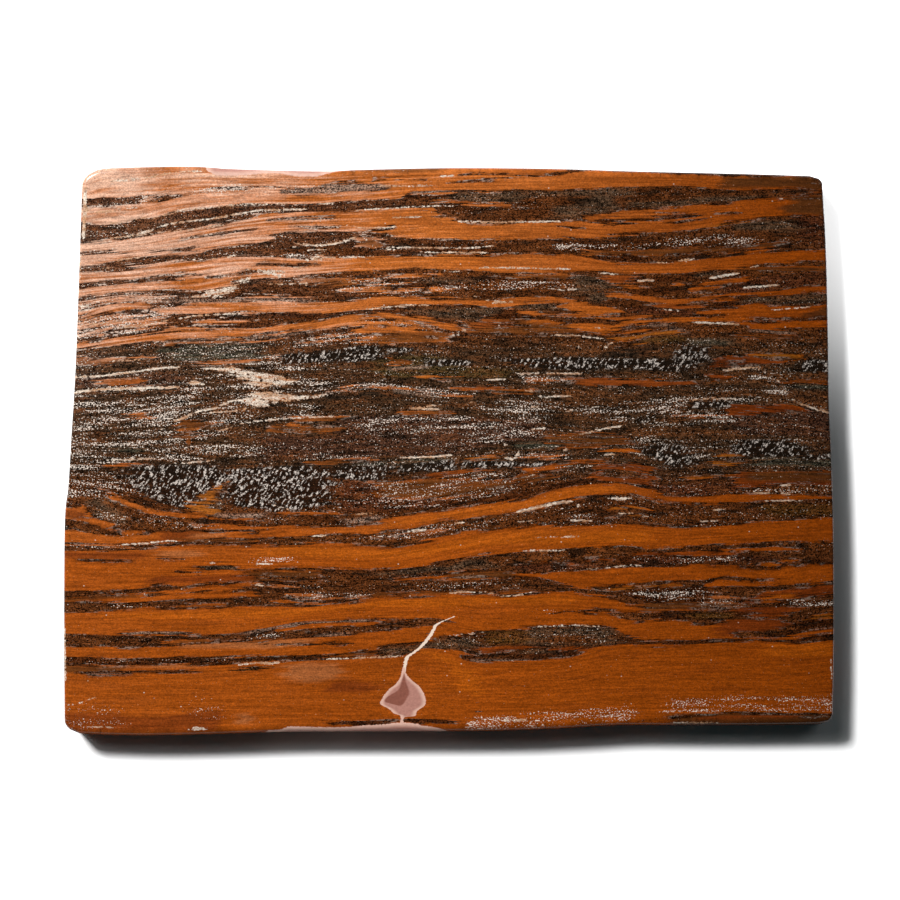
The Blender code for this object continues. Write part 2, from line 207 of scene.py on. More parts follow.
MIDDLE_LAYERS = [
    # the far side of the dark heart: gold layers near y = 60 and 50
    ("dust", [(-150, 60.5, 44), (-140, 62, 45), (-120, 63, 47), (-110, 63.2, 50)]),
    ("gold", [(-150, 54, 53), (-128, 59.6, 56), (-118, 58.6, 57)]),
    ("iron", [(-150, 60.2, 58.8), (-140, 61.7, 60.1), (-129, 63.3, 62.6)]),
    ("rust", [(-138, 60.2, 59.2), (-130, 61.4, 60.2), (-120, 61.8, 60.8)]),
    ("gold", [(-113, 56.4, 55.6), (-108, 57.8, 54.6), (-103, 58.7, 54.8), (-62, 59.2, 54.8),
        (-49, 59, 54.5), (-44, 59.4, 55.2), (-32, 60.4, 56.2), (-26, 61.2, 57.2), (2, 60.7, 58.5),
        (14, 59.6, 57.8), (24, 60.7, 57.4), (36, 61, 59), (48, 60.7, 58.6), (52, 59.8, 58.4)]),
    ("tan", [(-79, 62, 61.1), (-58, 61.8, 61.2)]),
    ("ash", [(-112, 60, 59.1), (-88, 60.4, 59.3), (-76, 60.8, 59.4), (-64, 60.6, 59.4), (-56, 59.9, 59.4)]),
    ("gold", [(59, 64, 63.4), (66, 63, 60.8), (92, 60.5, 58.5), (104, 61.5, 59.6), (116, 62.8, 61.5),
        (128, 63.3, 61.2), (133, 64.4, 61.8), (152, 66.3, 63.5)]),

    # below them
    ("coal", [(-138, 54.8, 53.8), (-122, 56.3, 54.2), (-117, 56.2, 55)]),
    ("coal", [(-101, 54, 52.2), (-66, 54.8, 52.6), (-52, 54.2, 53)]),
    ("gold", [(-102, 51.3, 50.3), (-90, 52.1, 50), (-72, 51.6, 51.2)]),
    ("umber", [(-80, 52.4, 49), (-70, 52.4, 50), (-52, 53.4, 52.2)]),
    ("ochre", [(-113, 48.2, 47.3), (-107, 49.1, 47.8), (-82, 49.4, 48.8)]),
    ("gold", [(-151, 41.8, 40), (-126, 46, 43), (-118, 46.5, 43.3), (-104, 48.1, 44.4), (-86, 48.4, 45.1),
        (-56, 51.3, 48.2), (-43, 53.7, 49.6), (-27, 55, 52.7), (-12, 53.2, 51.2), (6, 49.4, 47.8),
        (11, 48.4, 48)]),
    ("gold", [(-41, 47.6, 47.2), (-37, 48.6, 46.6), (-28, 48.8, 46.9), (-23, 49.9, 47.1), (-13, 49, 47.6)]),
    ("dust", [(-38, 51, 49.2), (-32, 52, 48.6), (-24, 51.8, 49.8), (-16, 51.2, 49.4), (-10, 50.4, 47.6),
        (-4, 49.4, 46.8)]),
    ("coal", [(-34, 56.2, 55.3), (-28, 56.8, 55.2), (-10, 57.8, 53.3), (4, 57.9, 51.5), (12, 57.6, 51.6),
        (20, 57.4, 53), (25, 57, 52.8), (30, 54, 52.6)]),
    ("steel", [(-16, 56.8, 54.6), (8, 57, 52), (20, 57, 54)]),
    ("bark", [(8, 51.4, 46.8), (14, 53, 46.4), (44, 50.4, 46.6), (50, 50.4, 47)]),
    ("umber", [(-42, 47, 41.8), (-30, 46.6, 42), (-4, 47.4, 42), (8, 46, 41.6), (20, 45, 41)]),
    ("rust", [(10, 50.6, 48.2), (15, 52.7, 49), (19, 52.5, 49.4), (24, 50, 48.8)]),
    ("gold", [(22, 58, 57.2), (26, 57, 55.8), (30, 55.6, 54.2), (35, 54.8, 53.5), (40, 54, 53.2),
        (54, 54.1, 53), (66, 53.3, 51.9), (73, 53.4, 52.2), (79, 54.8, 53.6)]),
    ("steel", [(27, 57.3, 56.6), (36, 58.7, 55.9), (45, 56.8, 56.2)]),
    ("amber", [(28, 52.6, 50.9), (33, 52.8, 50.5), (44, 51.2, 50.4)]),
    ("amber", [(42, 58, 57.4), (50, 59.3, 55.4), (54, 58.3, 54.4), (67, 56.4, 54), (71, 55.4, 54.8)]),
    ("amber", [(46, 49.8, 48.8), (50, 51, 48.2), (62, 50.1, 46.3), (70, 51.7, 48.9), (76, 52.1, 50.3),
        (92, 53.2, 51.4), (116, 53, 51.6)]),
    ("gold", [(64, 46.2, 45.6), (69, 47.7, 46.4), (80, 48.8, 48.4)]),
    ("ochre", [(66, 45, 43.8), (86, 47.7, 46.3), (92, 47.9, 47.1)]),
    ("rust", [(80, 58.4, 57.2), (88, 58.3, 56.8), (96, 57.8, 57), (102, 58, 57.4)]),
    ("wine", [(74, 57.4, 54), (100, 55.2, 53.8)]),
    ("gold", [(100, 55.3, 54.7), (111, 56.7, 53.4), (118, 58.7, 52.6), (138, 57.1, 52.2), (143, 57.4, 52.2),
        (146, 58.3, 52.8), (152, 58.4, 53.2)]),
    ("bark", [(140, 55, 52.6), (146, 57, 52.8), (152, 57.4, 53)]),
    ("coal", [(101, 57.6, 56.9), (104, 59.4, 56.5), (109, 60, 56.3), (113, 58.2, 56.7)]),
    ("steel", [(112, 59.4, 58.8), (120, 61.5, 59.2), (134, 60.9, 58.2), (140, 61.9, 58.4), (152, 63, 60)]),
    ("gold", [(112, 53.2, 51.8), (120, 52.8, 48.6), (132, 51.4, 47.8), (136, 51.6, 48.8),
        (152, 52.4, 49.6)]),
    ("wine", [(119, 52.4, 51.6), (124, 52.3, 50.4), (128, 51.9, 50.3), (132, 52.2, 51.6), (144, 52, 51.5),
        (152, 52.6, 52)]),
    ("umber", [(92, 51, 49.6), (100, 50.6, 46.4), (114, 50, 46.8)]),
    ("umber", [(132, 49.2, 47), (152, 49.4, 46.4)]),

    # the dark heart, first its left part
    ("bark", [(-114, 42.2, 41), (-98, 44.1, 42.4), (-88, 44.6, 43.4), (-78, 44.3, 43.3), (-70, 44.9, 43.8),
        (-62, 45, 44.3)]),
    ("ash", [(-113, 43.2, 42.3), (-99, 44.5, 43.7), (-92, 45.3, 44.4), (-84, 45.3, 44.5), (-78, 46.1, 44.9),
        (-54, 48, 47)]),
    ("bark", [(-151, 38, 33.8), (-144, 37, 33.8), (-136, 36.6, 35), (-128, 36.4, 35.6)]),
    ("ochre", [(-137, 36.4, 35.8), (-125, 37.5, 36.5), (-119, 37, 36.5)]),
    ("steel", [(-114, 40.4, 37.4), (-108, 41.7, 36.2), (-92, 43.2, 35.7), (-76, 43, 36.4), (-65, 43, 40)]),
    ("umber", [(-74, 43.4, 38.2), (-62, 43.8, 38.4), (-58, 42.6, 39.4)]),
    ("rust", [(-104, 35.6, 34.6), (-94, 35.8, 34.2), (-84, 36.2, 34.5), (-76, 36.6, 35.6)]),
    ("dust", [(-74, 37.6, 36), (-68, 38.5, 36.4), (-63, 38.3, 37.2)]),
    ("dust", [(-61, 43.4, 41), (-52, 46.8, 42.2), (-46, 47.2, 42.4), (-28, 45.6, 42.8)]),
    ("bark", [(-32, 47, 43), (-8, 47.4, 43), (0, 47.6, 44)]),
    ("wine", [(-151, 29.3, 25), (-130, 30, 25.2), (-120, 31.4, 25.5), (-112, 31.4, 25.8),
        (-106, 30, 26.4)]),
    ("rust", [(-142, 28.2, 26.2), (-126, 28.9, 26.2), (-120, 28.2, 26.8)]),
    ("coal", [(-151, 21, 20), (-144, 20.8, 19.9), (-136, 21.5, 20.6), (-116, 23.2, 22.2),
        (-108, 24.4, 23)]),
    ("salt", [(-151, 24.6, 21.2), (-136, 24.9, 22), (-114, 25.4, 24)]),
    ("salt", [(-152, 19.6, 2), (-140, 20, 0), (-116, 22, 0), (-106, 22.6, 1), (-98, 22, 2), (-90, 20, 4)]),
    ("bark", [(-132, 14.6, 13.2), (-124, 14.6, 13), (-116, 14, 12.8)]),
    ("coal", [(-142, 8, 4.6), (-138, 8.4, 4.2), (-133, 7.4, 4.6)]),
    ("bark", [(-110, 11.8, 8.6), (-106, 12.4, 2), (-103, 12.6, 3), (-98, 13, 10), (-92, 14.2, 11)]),
    ("umber", [(-96, 20, 12.4), (-82, 19.6, 12.8), (-76, 17.6, 13)]),

    # its middle
    ("olive", [(-30, 36, 30), (-20, 37.6, 29), (-8, 38, 28.6), (4, 34, 29), (26, 32, 29)]),
    ("dust", [(-50, 24.4, 22.2), (-36, 26.7, 23.9), (-28, 26.9, 24.3), (-12, 25.2, 23), (-4, 24.2, 21),
        (10, 22.6, 21)]),
    ("coal", [(-80, 17.4, 16), (-72, 17.8, 16.3), (-64, 19.6, 18), (-56, 20.7, 19.6), (-38, 23, 21),
        (-30, 24, 21.8), (-14, 22.6, 21.6)]),
    ("bark", [(-26, 37.6, 34.4), (-17, 36, 34)]),
    ("ochre", [(-14, 29.4, 28.9), (-11, 30.6, 29), (-7, 29.2, 28.4), (2, 28.9, 28.1)]),
    ("bark", [(-22, 15.6, 14.2), (-2, 16, 14.4), (6, 15.4, 14.6)]),
    ("bark", [(-62, 13.4, 11.4), (-54, 13.4, 11.6), (-46, 14, 11.6), (-38, 13.6, 12)]),
    ("bark", [(-72, 10, 7), (-42, 9.6, 7.6), (-34, 9, 7.8)]),
    ("wine", [(-44, 13, 2), (-30, 14, 1), (-14, 14, 1), (4, 13.6, 0), (30, 12, 4), (40, 9, 4)]),
    ("salt", [(-34, 13, 6.6), (-20, 14, 6), (-6, 14.2, 7), (8, 14, 3.6), (24, 13.6, 3.4), (40, 13, 8)]),
    ("rust", [(3, 25.5, 24), (10, 25.7, 23.9), (24, 25, 24.4)]),
    ("bark", [(18, 24.8, 22.4), (26, 24.6, 22.6), (34, 24, 22)]),
    ("umber", [(44, 45, 38.6), (52, 44.6, 38), (60, 43.8, 38.4), (66, 43, 41)]),
    ("ochre", [(68, 42.6, 42), (82, 43.6, 42.8)]),
    ("rust", [(46, 30, 26.6), (66, 29.2, 25.4), (86, 27.8, 26), (98, 27.6, 26.2)]),
    ("dust", [(29, 29.6, 26.6), (34, 30.2, 26), (51, 28.5, 27.8)]),
    ("umber", [(44, 24, 18), (56, 24, 18), (66, 23, 18), (76, 20, 16)]),
    ("salt", [(12, 20, 15), (24, 20, 14), (38, 19, 14), (52, 19.6, 13.6), (64, 19.6, 12), (90, 22, 9),
        (100, 23.6, 10), (112, 24, 11), (122, 23, 18)]),

    # and its right part
    ("coal", [(64, 41.2, 37.4), (80, 42, 37.4)]),
    ("olive", [(78, 46, 43), (90, 46.8, 43), (96, 45.2, 43.6)]),
    ("steel", [(96, 44.8, 41.6), (112, 45, 42), (118, 44, 41.6)]),
    ("umber", [(116, 47, 37), (126, 46.6, 36), (152, 46.2, 37.4)]),
    ("bark", [(116, 46.4, 45), (140, 46, 44.8)]),
    ("ochre", [(120, 38.4, 37.2), (136, 38.9, 36.6), (141, 38.4, 37)]),
    ("rust", [(102, 35.8, 32.8), (114, 37.8, 32.6), (128, 36.2, 34.6), (136, 35.6, 34.8)]),
    ("umber", [(98, 32, 26), (118, 31.6, 27), (140, 31, 25), (152, 31, 26)]),
    ("rust", [(104, 30.2, 28), (109, 30.4, 28.2), (113, 29.8, 28.8)]),
    ("bark", [(134, 28.4, 27), (152, 28, 27)]),
    ("steel", [(134, 26.6, 24.4), (152, 25.8, 24.6)]),
    ("umber", [(124, 23.8, 18), (144, 24, 17), (152, 24, 16)]),
    ("rust", [(110, 19.4, 14), (118, 18.8, 13), (126, 18.4, 13), (136, 18.4, 14.6), (142, 17, 15)]),
    ("dust", [(88, 15.3, 13.2), (106, 14.6, 12), (116, 13.9, 12.2)]),
    ("wine", [(112, 12, 7), (122, 14, 6.6), (132, 16, 6), (142, 15.6, 6), (152, 14, 4)]),
    ("umber", [(70, 9, 5), (84, 9.4, 6), (100, 9, 6), (114, 8, 5)]),
    ("bark", [(40, 6, 1), (52, 7, 1), (62, 7.6, 2), (72, 5, 3)]),
]

NEAR_LAYERS = [
    # the near side of the dark heart
    ("salt", [(-152, 4, -3.2), (-130, 4, -3), (-104, 3, -4), (-50, 2, -3.6), (-30, 3, -2.6)]),
    ("wine", [(-76, 6, -4), (-36, 6, -2.6), (-16, 8, -2.2), (4, 8, -1.4)]),
    ("steel", [(-134, 0.9, 0), (-130, 1.6, -0.6), (-120, 0.6, -0.3)]),
    ("frost", [(-152, -3.4, -8.4), (-144, -3.6, -7.8), (-138, -3.4, -6.4), (-126, -3, -4.4)]),
    ("rust", [(-133, -5.2, -6.4), (-127, -4.2, -5.8), (-121, -4.2, -5.4)]),
    ("coal", [(-122, -5, -6.4), (-112, -4.6, -6.2), (-104, -5.4, -6.4), (-80, -4.6, -6)]),
    ("cobble", [(-126, -6, -15), (-120, -5.6, -18.5), (-114, -5.6, -20), (-108, -5.8, -22.5),
        (-89, -6, -11)]),
    ("ochre", [(-103, -20, -24), (-99, -17.5, -26), (-96, -16.5, -26.4), (-93, -13, -26), (-90, -11, -20),
        (-89, -10, -12)]),
    ("steel", [(-95.5, -19.5, -22.5), (-93.5, -18.2, -23.2), (-91.5, -19, -22.8)]),
    ("cobble", [(-88, -8, -20), (-84, -7, -22.5), (-76, -6.4, -22.6), (-66, -6.2, -24.4),
        (-58, -6.3, -22.6), (-47, -7, -21.6)]),
    ("bark", [(-58, -4, -5), (-48, -3.8, -5.6), (-38, -3, -5), (-28, -3.6, -5)]),
    ("cobble", [(-48, -7, -9), (-40, -6, -11), (-26, -6, -11.4), (-22, -5.4, -9)]),
    ("cobble", [(-20, -5, -8.4), (-12, -4.6, -8.4), (-4, -3.6, -8), (2, -3.6, -7.4)]),
    ("steel", [(-36, -5.2, -6.4), (-24, -4.6, -5.9), (-8, -2.6, -4.2), (2, -2.2, -3.8)]),
    ("wine", [(-44, -11, -24), (-30, -12, -24), (-14, -18, -23), (-2, -19.6, -22)]),
    ("bark", [(-30, -12, -18), (-16, -11.6, -19), (-2, -11, -18.8), (18, -11.4, -16.4),
        (24, -12.4, -15.6)]),
    ("speck", [(-30, -12, -23), (-16, -11.6, -23), (14, -11, -20), (26, -12, -17)]),
    ("rust", [(-20, -11.2, -11.6), (-14, -9.6, -11.4), (-2, -8.2, -10.6), (10, -7.6, -8.4),
        (18, -7.2, -7.8)]),
    ("salt", [(-2, -10, -12), (22, -8, -10)]),

    # the bent layers round the eye at the left side
    ("gold", [(-139, -14.6, -15.4), (-132, -17.6, -19.6), (-120, -22.8, -24.6), (-98, -24.4, -27)]),
    ("steel", [(-143, -19.2, -22), (-139, -18.6, -26.4), (-131, -22.8, -29.6), (-127, -24.6, -28.4)]),
    ("umber", [(-126, -26, -31.4), (-118, -26.6, -31.6), (-100, -27.6, -29.4)]),
    ("gold", [(-148.5, -20.4, -21.6), (-147, -20.8, -24.6), (-144, -24.2, -27.4), (-132, -31.2, -33),
        (-128, -31.8, -32.9), (-120, -31.6, -32.4)]),
    ("rust", [(-154, -22.6, -26.6), (-149, -22.4, -26.8), (-146, -25.6, -28)]),
    ("gold", [(-154, -31.4, -36.6), (-147, -31.8, -36.6), (-138, -33.8, -37), (-126, -34, -37),
        (-112, -32, -36.4), (-104, -31.6, -36.4), (-98, -31, -35)]),
    ("rust", [(-113, -31.8, -35.6), (-106, -31.4, -36), (-98, -31.4, -35)]),
    ("tan", [(-103, -32.6, -34.4), (-90, -32.8, -34.2)]),
    ("dust", [(-105, -28.8, -31.2), (-98, -28.4, -31.2), (-92, -28.8, -31)]),
    ("ash", [(-91, -24.8, -26.2), (-84, -25, -26.4), (-70, -24.4, -26)]),
    ("gold", [(-98, -25.6, -27.6), (-84, -26.6, -27.2), (-74, -26.6, -27.6)]),
    ("coal", [(-90, -27.6, -29), (-85, -27.2, -29.6), (-74, -27.8, -29.2)]),
    ("gold", [(-101, -30.4, -31.4), (-92, -29.2, -31.4), (-72, -30.2, -31.8)]),
    ("bark", [(-108, -34.8, -36.6), (-76, -34.8, -36.7)]),
    ("dust", [(-150, -37, -38.4), (-126, -37.4, -39)]),

    # the rising gold layer and the dark streak along it
    ("coal", [(-62, -28.2, -29), (-46, -26, -27.8), (-40, -26.4, -27)]),
    ("gold", [(-66, -23.9, -24.7), (-58, -24.5, -25.8), (-41, -24.9, -25.5)]),
    ("ash", [(-40, -27.2, -28.6), (-32, -26.4, -28.4), (-29, -26, -27.2)]),
    ("coal", [(-2, -20.4, -22.6), (12, -18.8, -21), (18, -18.4, -20.8), (30, -16.4, -18.4)]),
    ("coal", [(24, -17, -18), (30, -16.4, -17.6), (42, -13, -15.6), (48, -11.4, -14), (60, -11.8, -12.8)]),
    ("gold", [(-92, -32.4, -33), (-88, -32, -34.2), (-76, -32, -34.4), (-70, -29.6, -34.2),
        (-40, -29.8, -32.6), (-30, -28.6, -32.4), (-26, -27, -32), (-4, -24, -28.9), (0, -23.4, -27.6),
        (12, -21.2, -26.2), (24, -20, -24.8), (48, -14.3, -19.4), (66, -12.8, -17), (72, -13.4, -17),
        (88, -17.9, -20.8), (104, -18, -21), (116, -16.8, -20.6), (130, -17.6, -19.6), (154, -18, -19)]),
    ("amber", [(-28, -28.4, -30.6), (0, -24.6, -27), (14, -22, -25), (28, -20, -23), (54, -14.4, -17.6),
        (66, -13.6, -16.4)]),
    ("umber", [(-68, -35, -35.6), (-62, -34.2, -36.6), (-56, -33.6, -36), (-32, -33, -37),
        (-16, -31.2, -36.4), (-8, -30.4, -34.6), (0, -28.6, -33.4), (8, -27.4, -31.4), (24, -25.4, -30.6)]),
    ("dust", [(-40, -34.4, -36), (-26, -33.4, -35.6), (-12, -31.4, -34.6), (0, -29.6, -32.6)]),
    ("frost", [(46, -24.6, -27), (58, -25, -26.8)]),
    ("ochre", [(62, -22.2, -23), (70, -22, -22.9), (77, -22.3, -22.8)]),
    ("ochre", [(63, -25.8, -26.4), (75, -25.5, -26.2)]),
    ("olive", [(126, -21.4, -26), (154, -21, -25.4)]),
    ("umber", [(84, -24.8, -29), (114, -24.6, -27)]),

    # between the rising gold layer and the dark heart, right half
    ("ochre", [(7, -3.2, -3.8), (12, -2.6, -3.6), (20, -1.6, -2.6)]),
    ("dust", [(28, -1.6, -3), (40, -0.6, -4), (48, -1, -3)]),
    ("steel", [(26, 3, 1.4), (34, 3.6, 1), (44, 3.4, 1.6)]),
    ("cobble", [(4, -4.2, -6.2), (14, -4, -6.6), (32, -4.8, -6.2), (40, -4.6, -5.8)]),
    ("gold", [(26, -6.2, -6.6), (32, -6, -8.8), (35, -6.6, -9), (41, -5.4, -7.8), (52, -3.8, -5),
        (64, -3, -4)]),
    ("bark", [(26, -9.4, -13), (34, -9.6, -12), (42, -8.6, -10.4)]),
    ("salt", [(46, -5, -7), (58, -5.6, -6.8)]),
    ("amber", [(62, 0.3, -0.2), (68, 0.9, -0.4), (80, 0, -0.6)]),
    ("rust", [(58, -4.6, -11.6), (74, -5, -13), (82, -7, -14.6)]),
    ("umber", [(62, -7.6, -10), (70, -7.4, -10.4), (78, -8, -11)]),
    ("frost", [(15, -12.8, -15.4), (20, -12.4, -16), (27, -13, -15.6)]),
    ("speck", [(72, 6, -2), (86, 6, -4), (100, 5, -4), (130, 5, -1), (142, 5, -1)]),
    ("salt", [(78, 4, -2), (90, 3.6, -5), (97, 1, -6), (100, -2, -5)]),
    ("cobble", [(141, -1.4, -3.6), (151, -1.4, -3.4)]),
    ("ochre", [(105, -1.2, -2.4), (111, -0.9, -2.7), (117, -1.3, -2.2)]),
    ("ochre", [(105, -4.5, -5.8), (110, -4.3, -6.1), (115, -4.8, -5.7)]),
    ("steel", [(121, -2.4, -6), (132, -2.6, -6), (144, -3.4, -6.4), (154, -2, -6)]),
    ("ochre", [(94, -10.8, -11.2), (102, -10, -10.8), (108, -9.4, -10.2), (113, -9.4, -9.8)]),
    ("coal", [(94, -11.3, -12.5), (102, -11, -12.8), (115, -10.6, -11.8)]),
    ("rust", [(114, -8.4, -14.8), (124, -8, -15), (136, -8.4, -14), (154, -8, -14)]),
    ("bark", [(118, -8.4, -11.6), (154, -8, -12.6)]),
    ("wine", [(79, -13, -15.6), (90, -13.4, -17.4), (100, -12.8, -17.6), (110, -12.4, -16.8),
        (117, -13.2, -16.4)]),
    ("umber", [(117, -14.8, -16.6), (130, -13.2, -16.8), (154, -13.4, -16.4)]),
    ("speck", [(118, -13.6, -16.4), (134, -13, -16.8), (154, -13, -16.4)]),

    # the next gold layer, with the dashed white line along its right half
    ("gold", [(-154, -39.6, -55.6), (-128, -39.8, -55.4), (-116, -38.8, -53), (-104, -37.4, -53),
        (-92, -37, -52), (-79, -37, -47.4), (-62, -37.6, -46.6), (-56, -36.8, -46.5), (-48, -36.6, -46.5),
        (-24, -38, -47), (0, -33.6, -43.2), (8, -31.8, -42), (24, -30.9, -40.4), (40, -29.3, -39.4),
        (48, -29.8, -38.8), (72, -28.9, -37.9), (84, -29.6, -38.4), (94, -30.2, -38.2), (140, -27, -36),
        (154, -26.6, -36)]),
    ("rust", [(-152, -39.8, -42.6), (-130, -40.4, -43), (-120, -40, -42.6)]),
    ("rust", [(-120, -50, -52.6), (-106, -49.6, -52.6), (-76, -48.6, -51.4)]),
    ("tan", [(-116, -39.8, -42.2), (-107, -39.4, -42.6), (-98, -39.6, -41.6)]),
    ("steel", [(-101, -46.4, -47), (-90, -45, -47.2), (-82, -46.4, -47.4)]),
    ("amber", [(-76, -38.4, -42), (-56, -38, -42), (-36, -39, -43), (-20, -39.4, -43), (-4, -36.4, -40.6),
        (14, -33.4, -38), (34, -31.6, -37), (80, -31.6, -36)]),
    ("bark", [(-79, -47.8, -51.6), (-52, -47.4, -52)]),
    ("umber", [(-79, -49.4, -50.6), (-52, -50, -52)]),
    ("steel", [(-30, -48.6, -49.6), (-4, -45.6, -47.8), (8, -43.4, -47), (18, -43, -46.4)]),
    ("gold", [(-22, -50.4, -51.2), (1, -49.6, -50.4)]),
    ("umber", [(18, -40.9, -43.4), (44, -39.8, -43.6), (56, -39, -42.4), (66, -38.8, -42)]),
    ("rust", [(29, -44.2, -45), (48, -43.8, -44.8), (67, -42.2, -43)]),
    ("coal", [(63, -42.6, -44.2), (68, -41.8, -45), (81, -43.6, -44.8)]),
    ("wine", [(27, -44.9, -47.4), (46, -45, -47.2), (63, -44.4, -45.8)]),
    ("bark", [(0, -48.4, -51), (20, -47.6, -50.6), (28, -48.4, -50)]),
    ("ash", [(5, -49.4, -50.4), (10, -49.2, -50.6), (15, -49.4, -50.2)]),
    ("gold", [(28, -48.2, -49.6), (44, -47.6, -53), (52, -47, -55), (60, -46.8, -54), (76, -45.6, -53),
        (80, -46.2, -52.2), (96, -45, -51.6), (112, -45, -50), (124, -46.6, -51.2), (140, -45, -50),
        (154, -44.6, -49.6)]),
    ("umber", [(74, -38.4, -40.4), (92, -37.8, -40.2), (108, -37.4, -38.8), (128, -36.8, -38.2),
        (154, -36.2, -40)]),
    ("rust", [(74, -40.2, -41.6), (98, -40, -41.2), (111, -40.4, -41.6)]),
    ("gold", [(108, -39, -40), (130, -38.6, -39.6), (144, -39.2, -40)]),
    ("wine", [(74, -42, -45.8), (104, -41.2, -44.2), (120, -41.8, -44.2), (129, -42, -43.4)]),
    ("salt", [(76, -42, -45), (112, -41.6, -44)]),
    ("amber", [(119, -44.6, -45.4), (124, -44.2, -45.6), (130, -43.8, -45), (143, -42.8, -43.4)]),
]

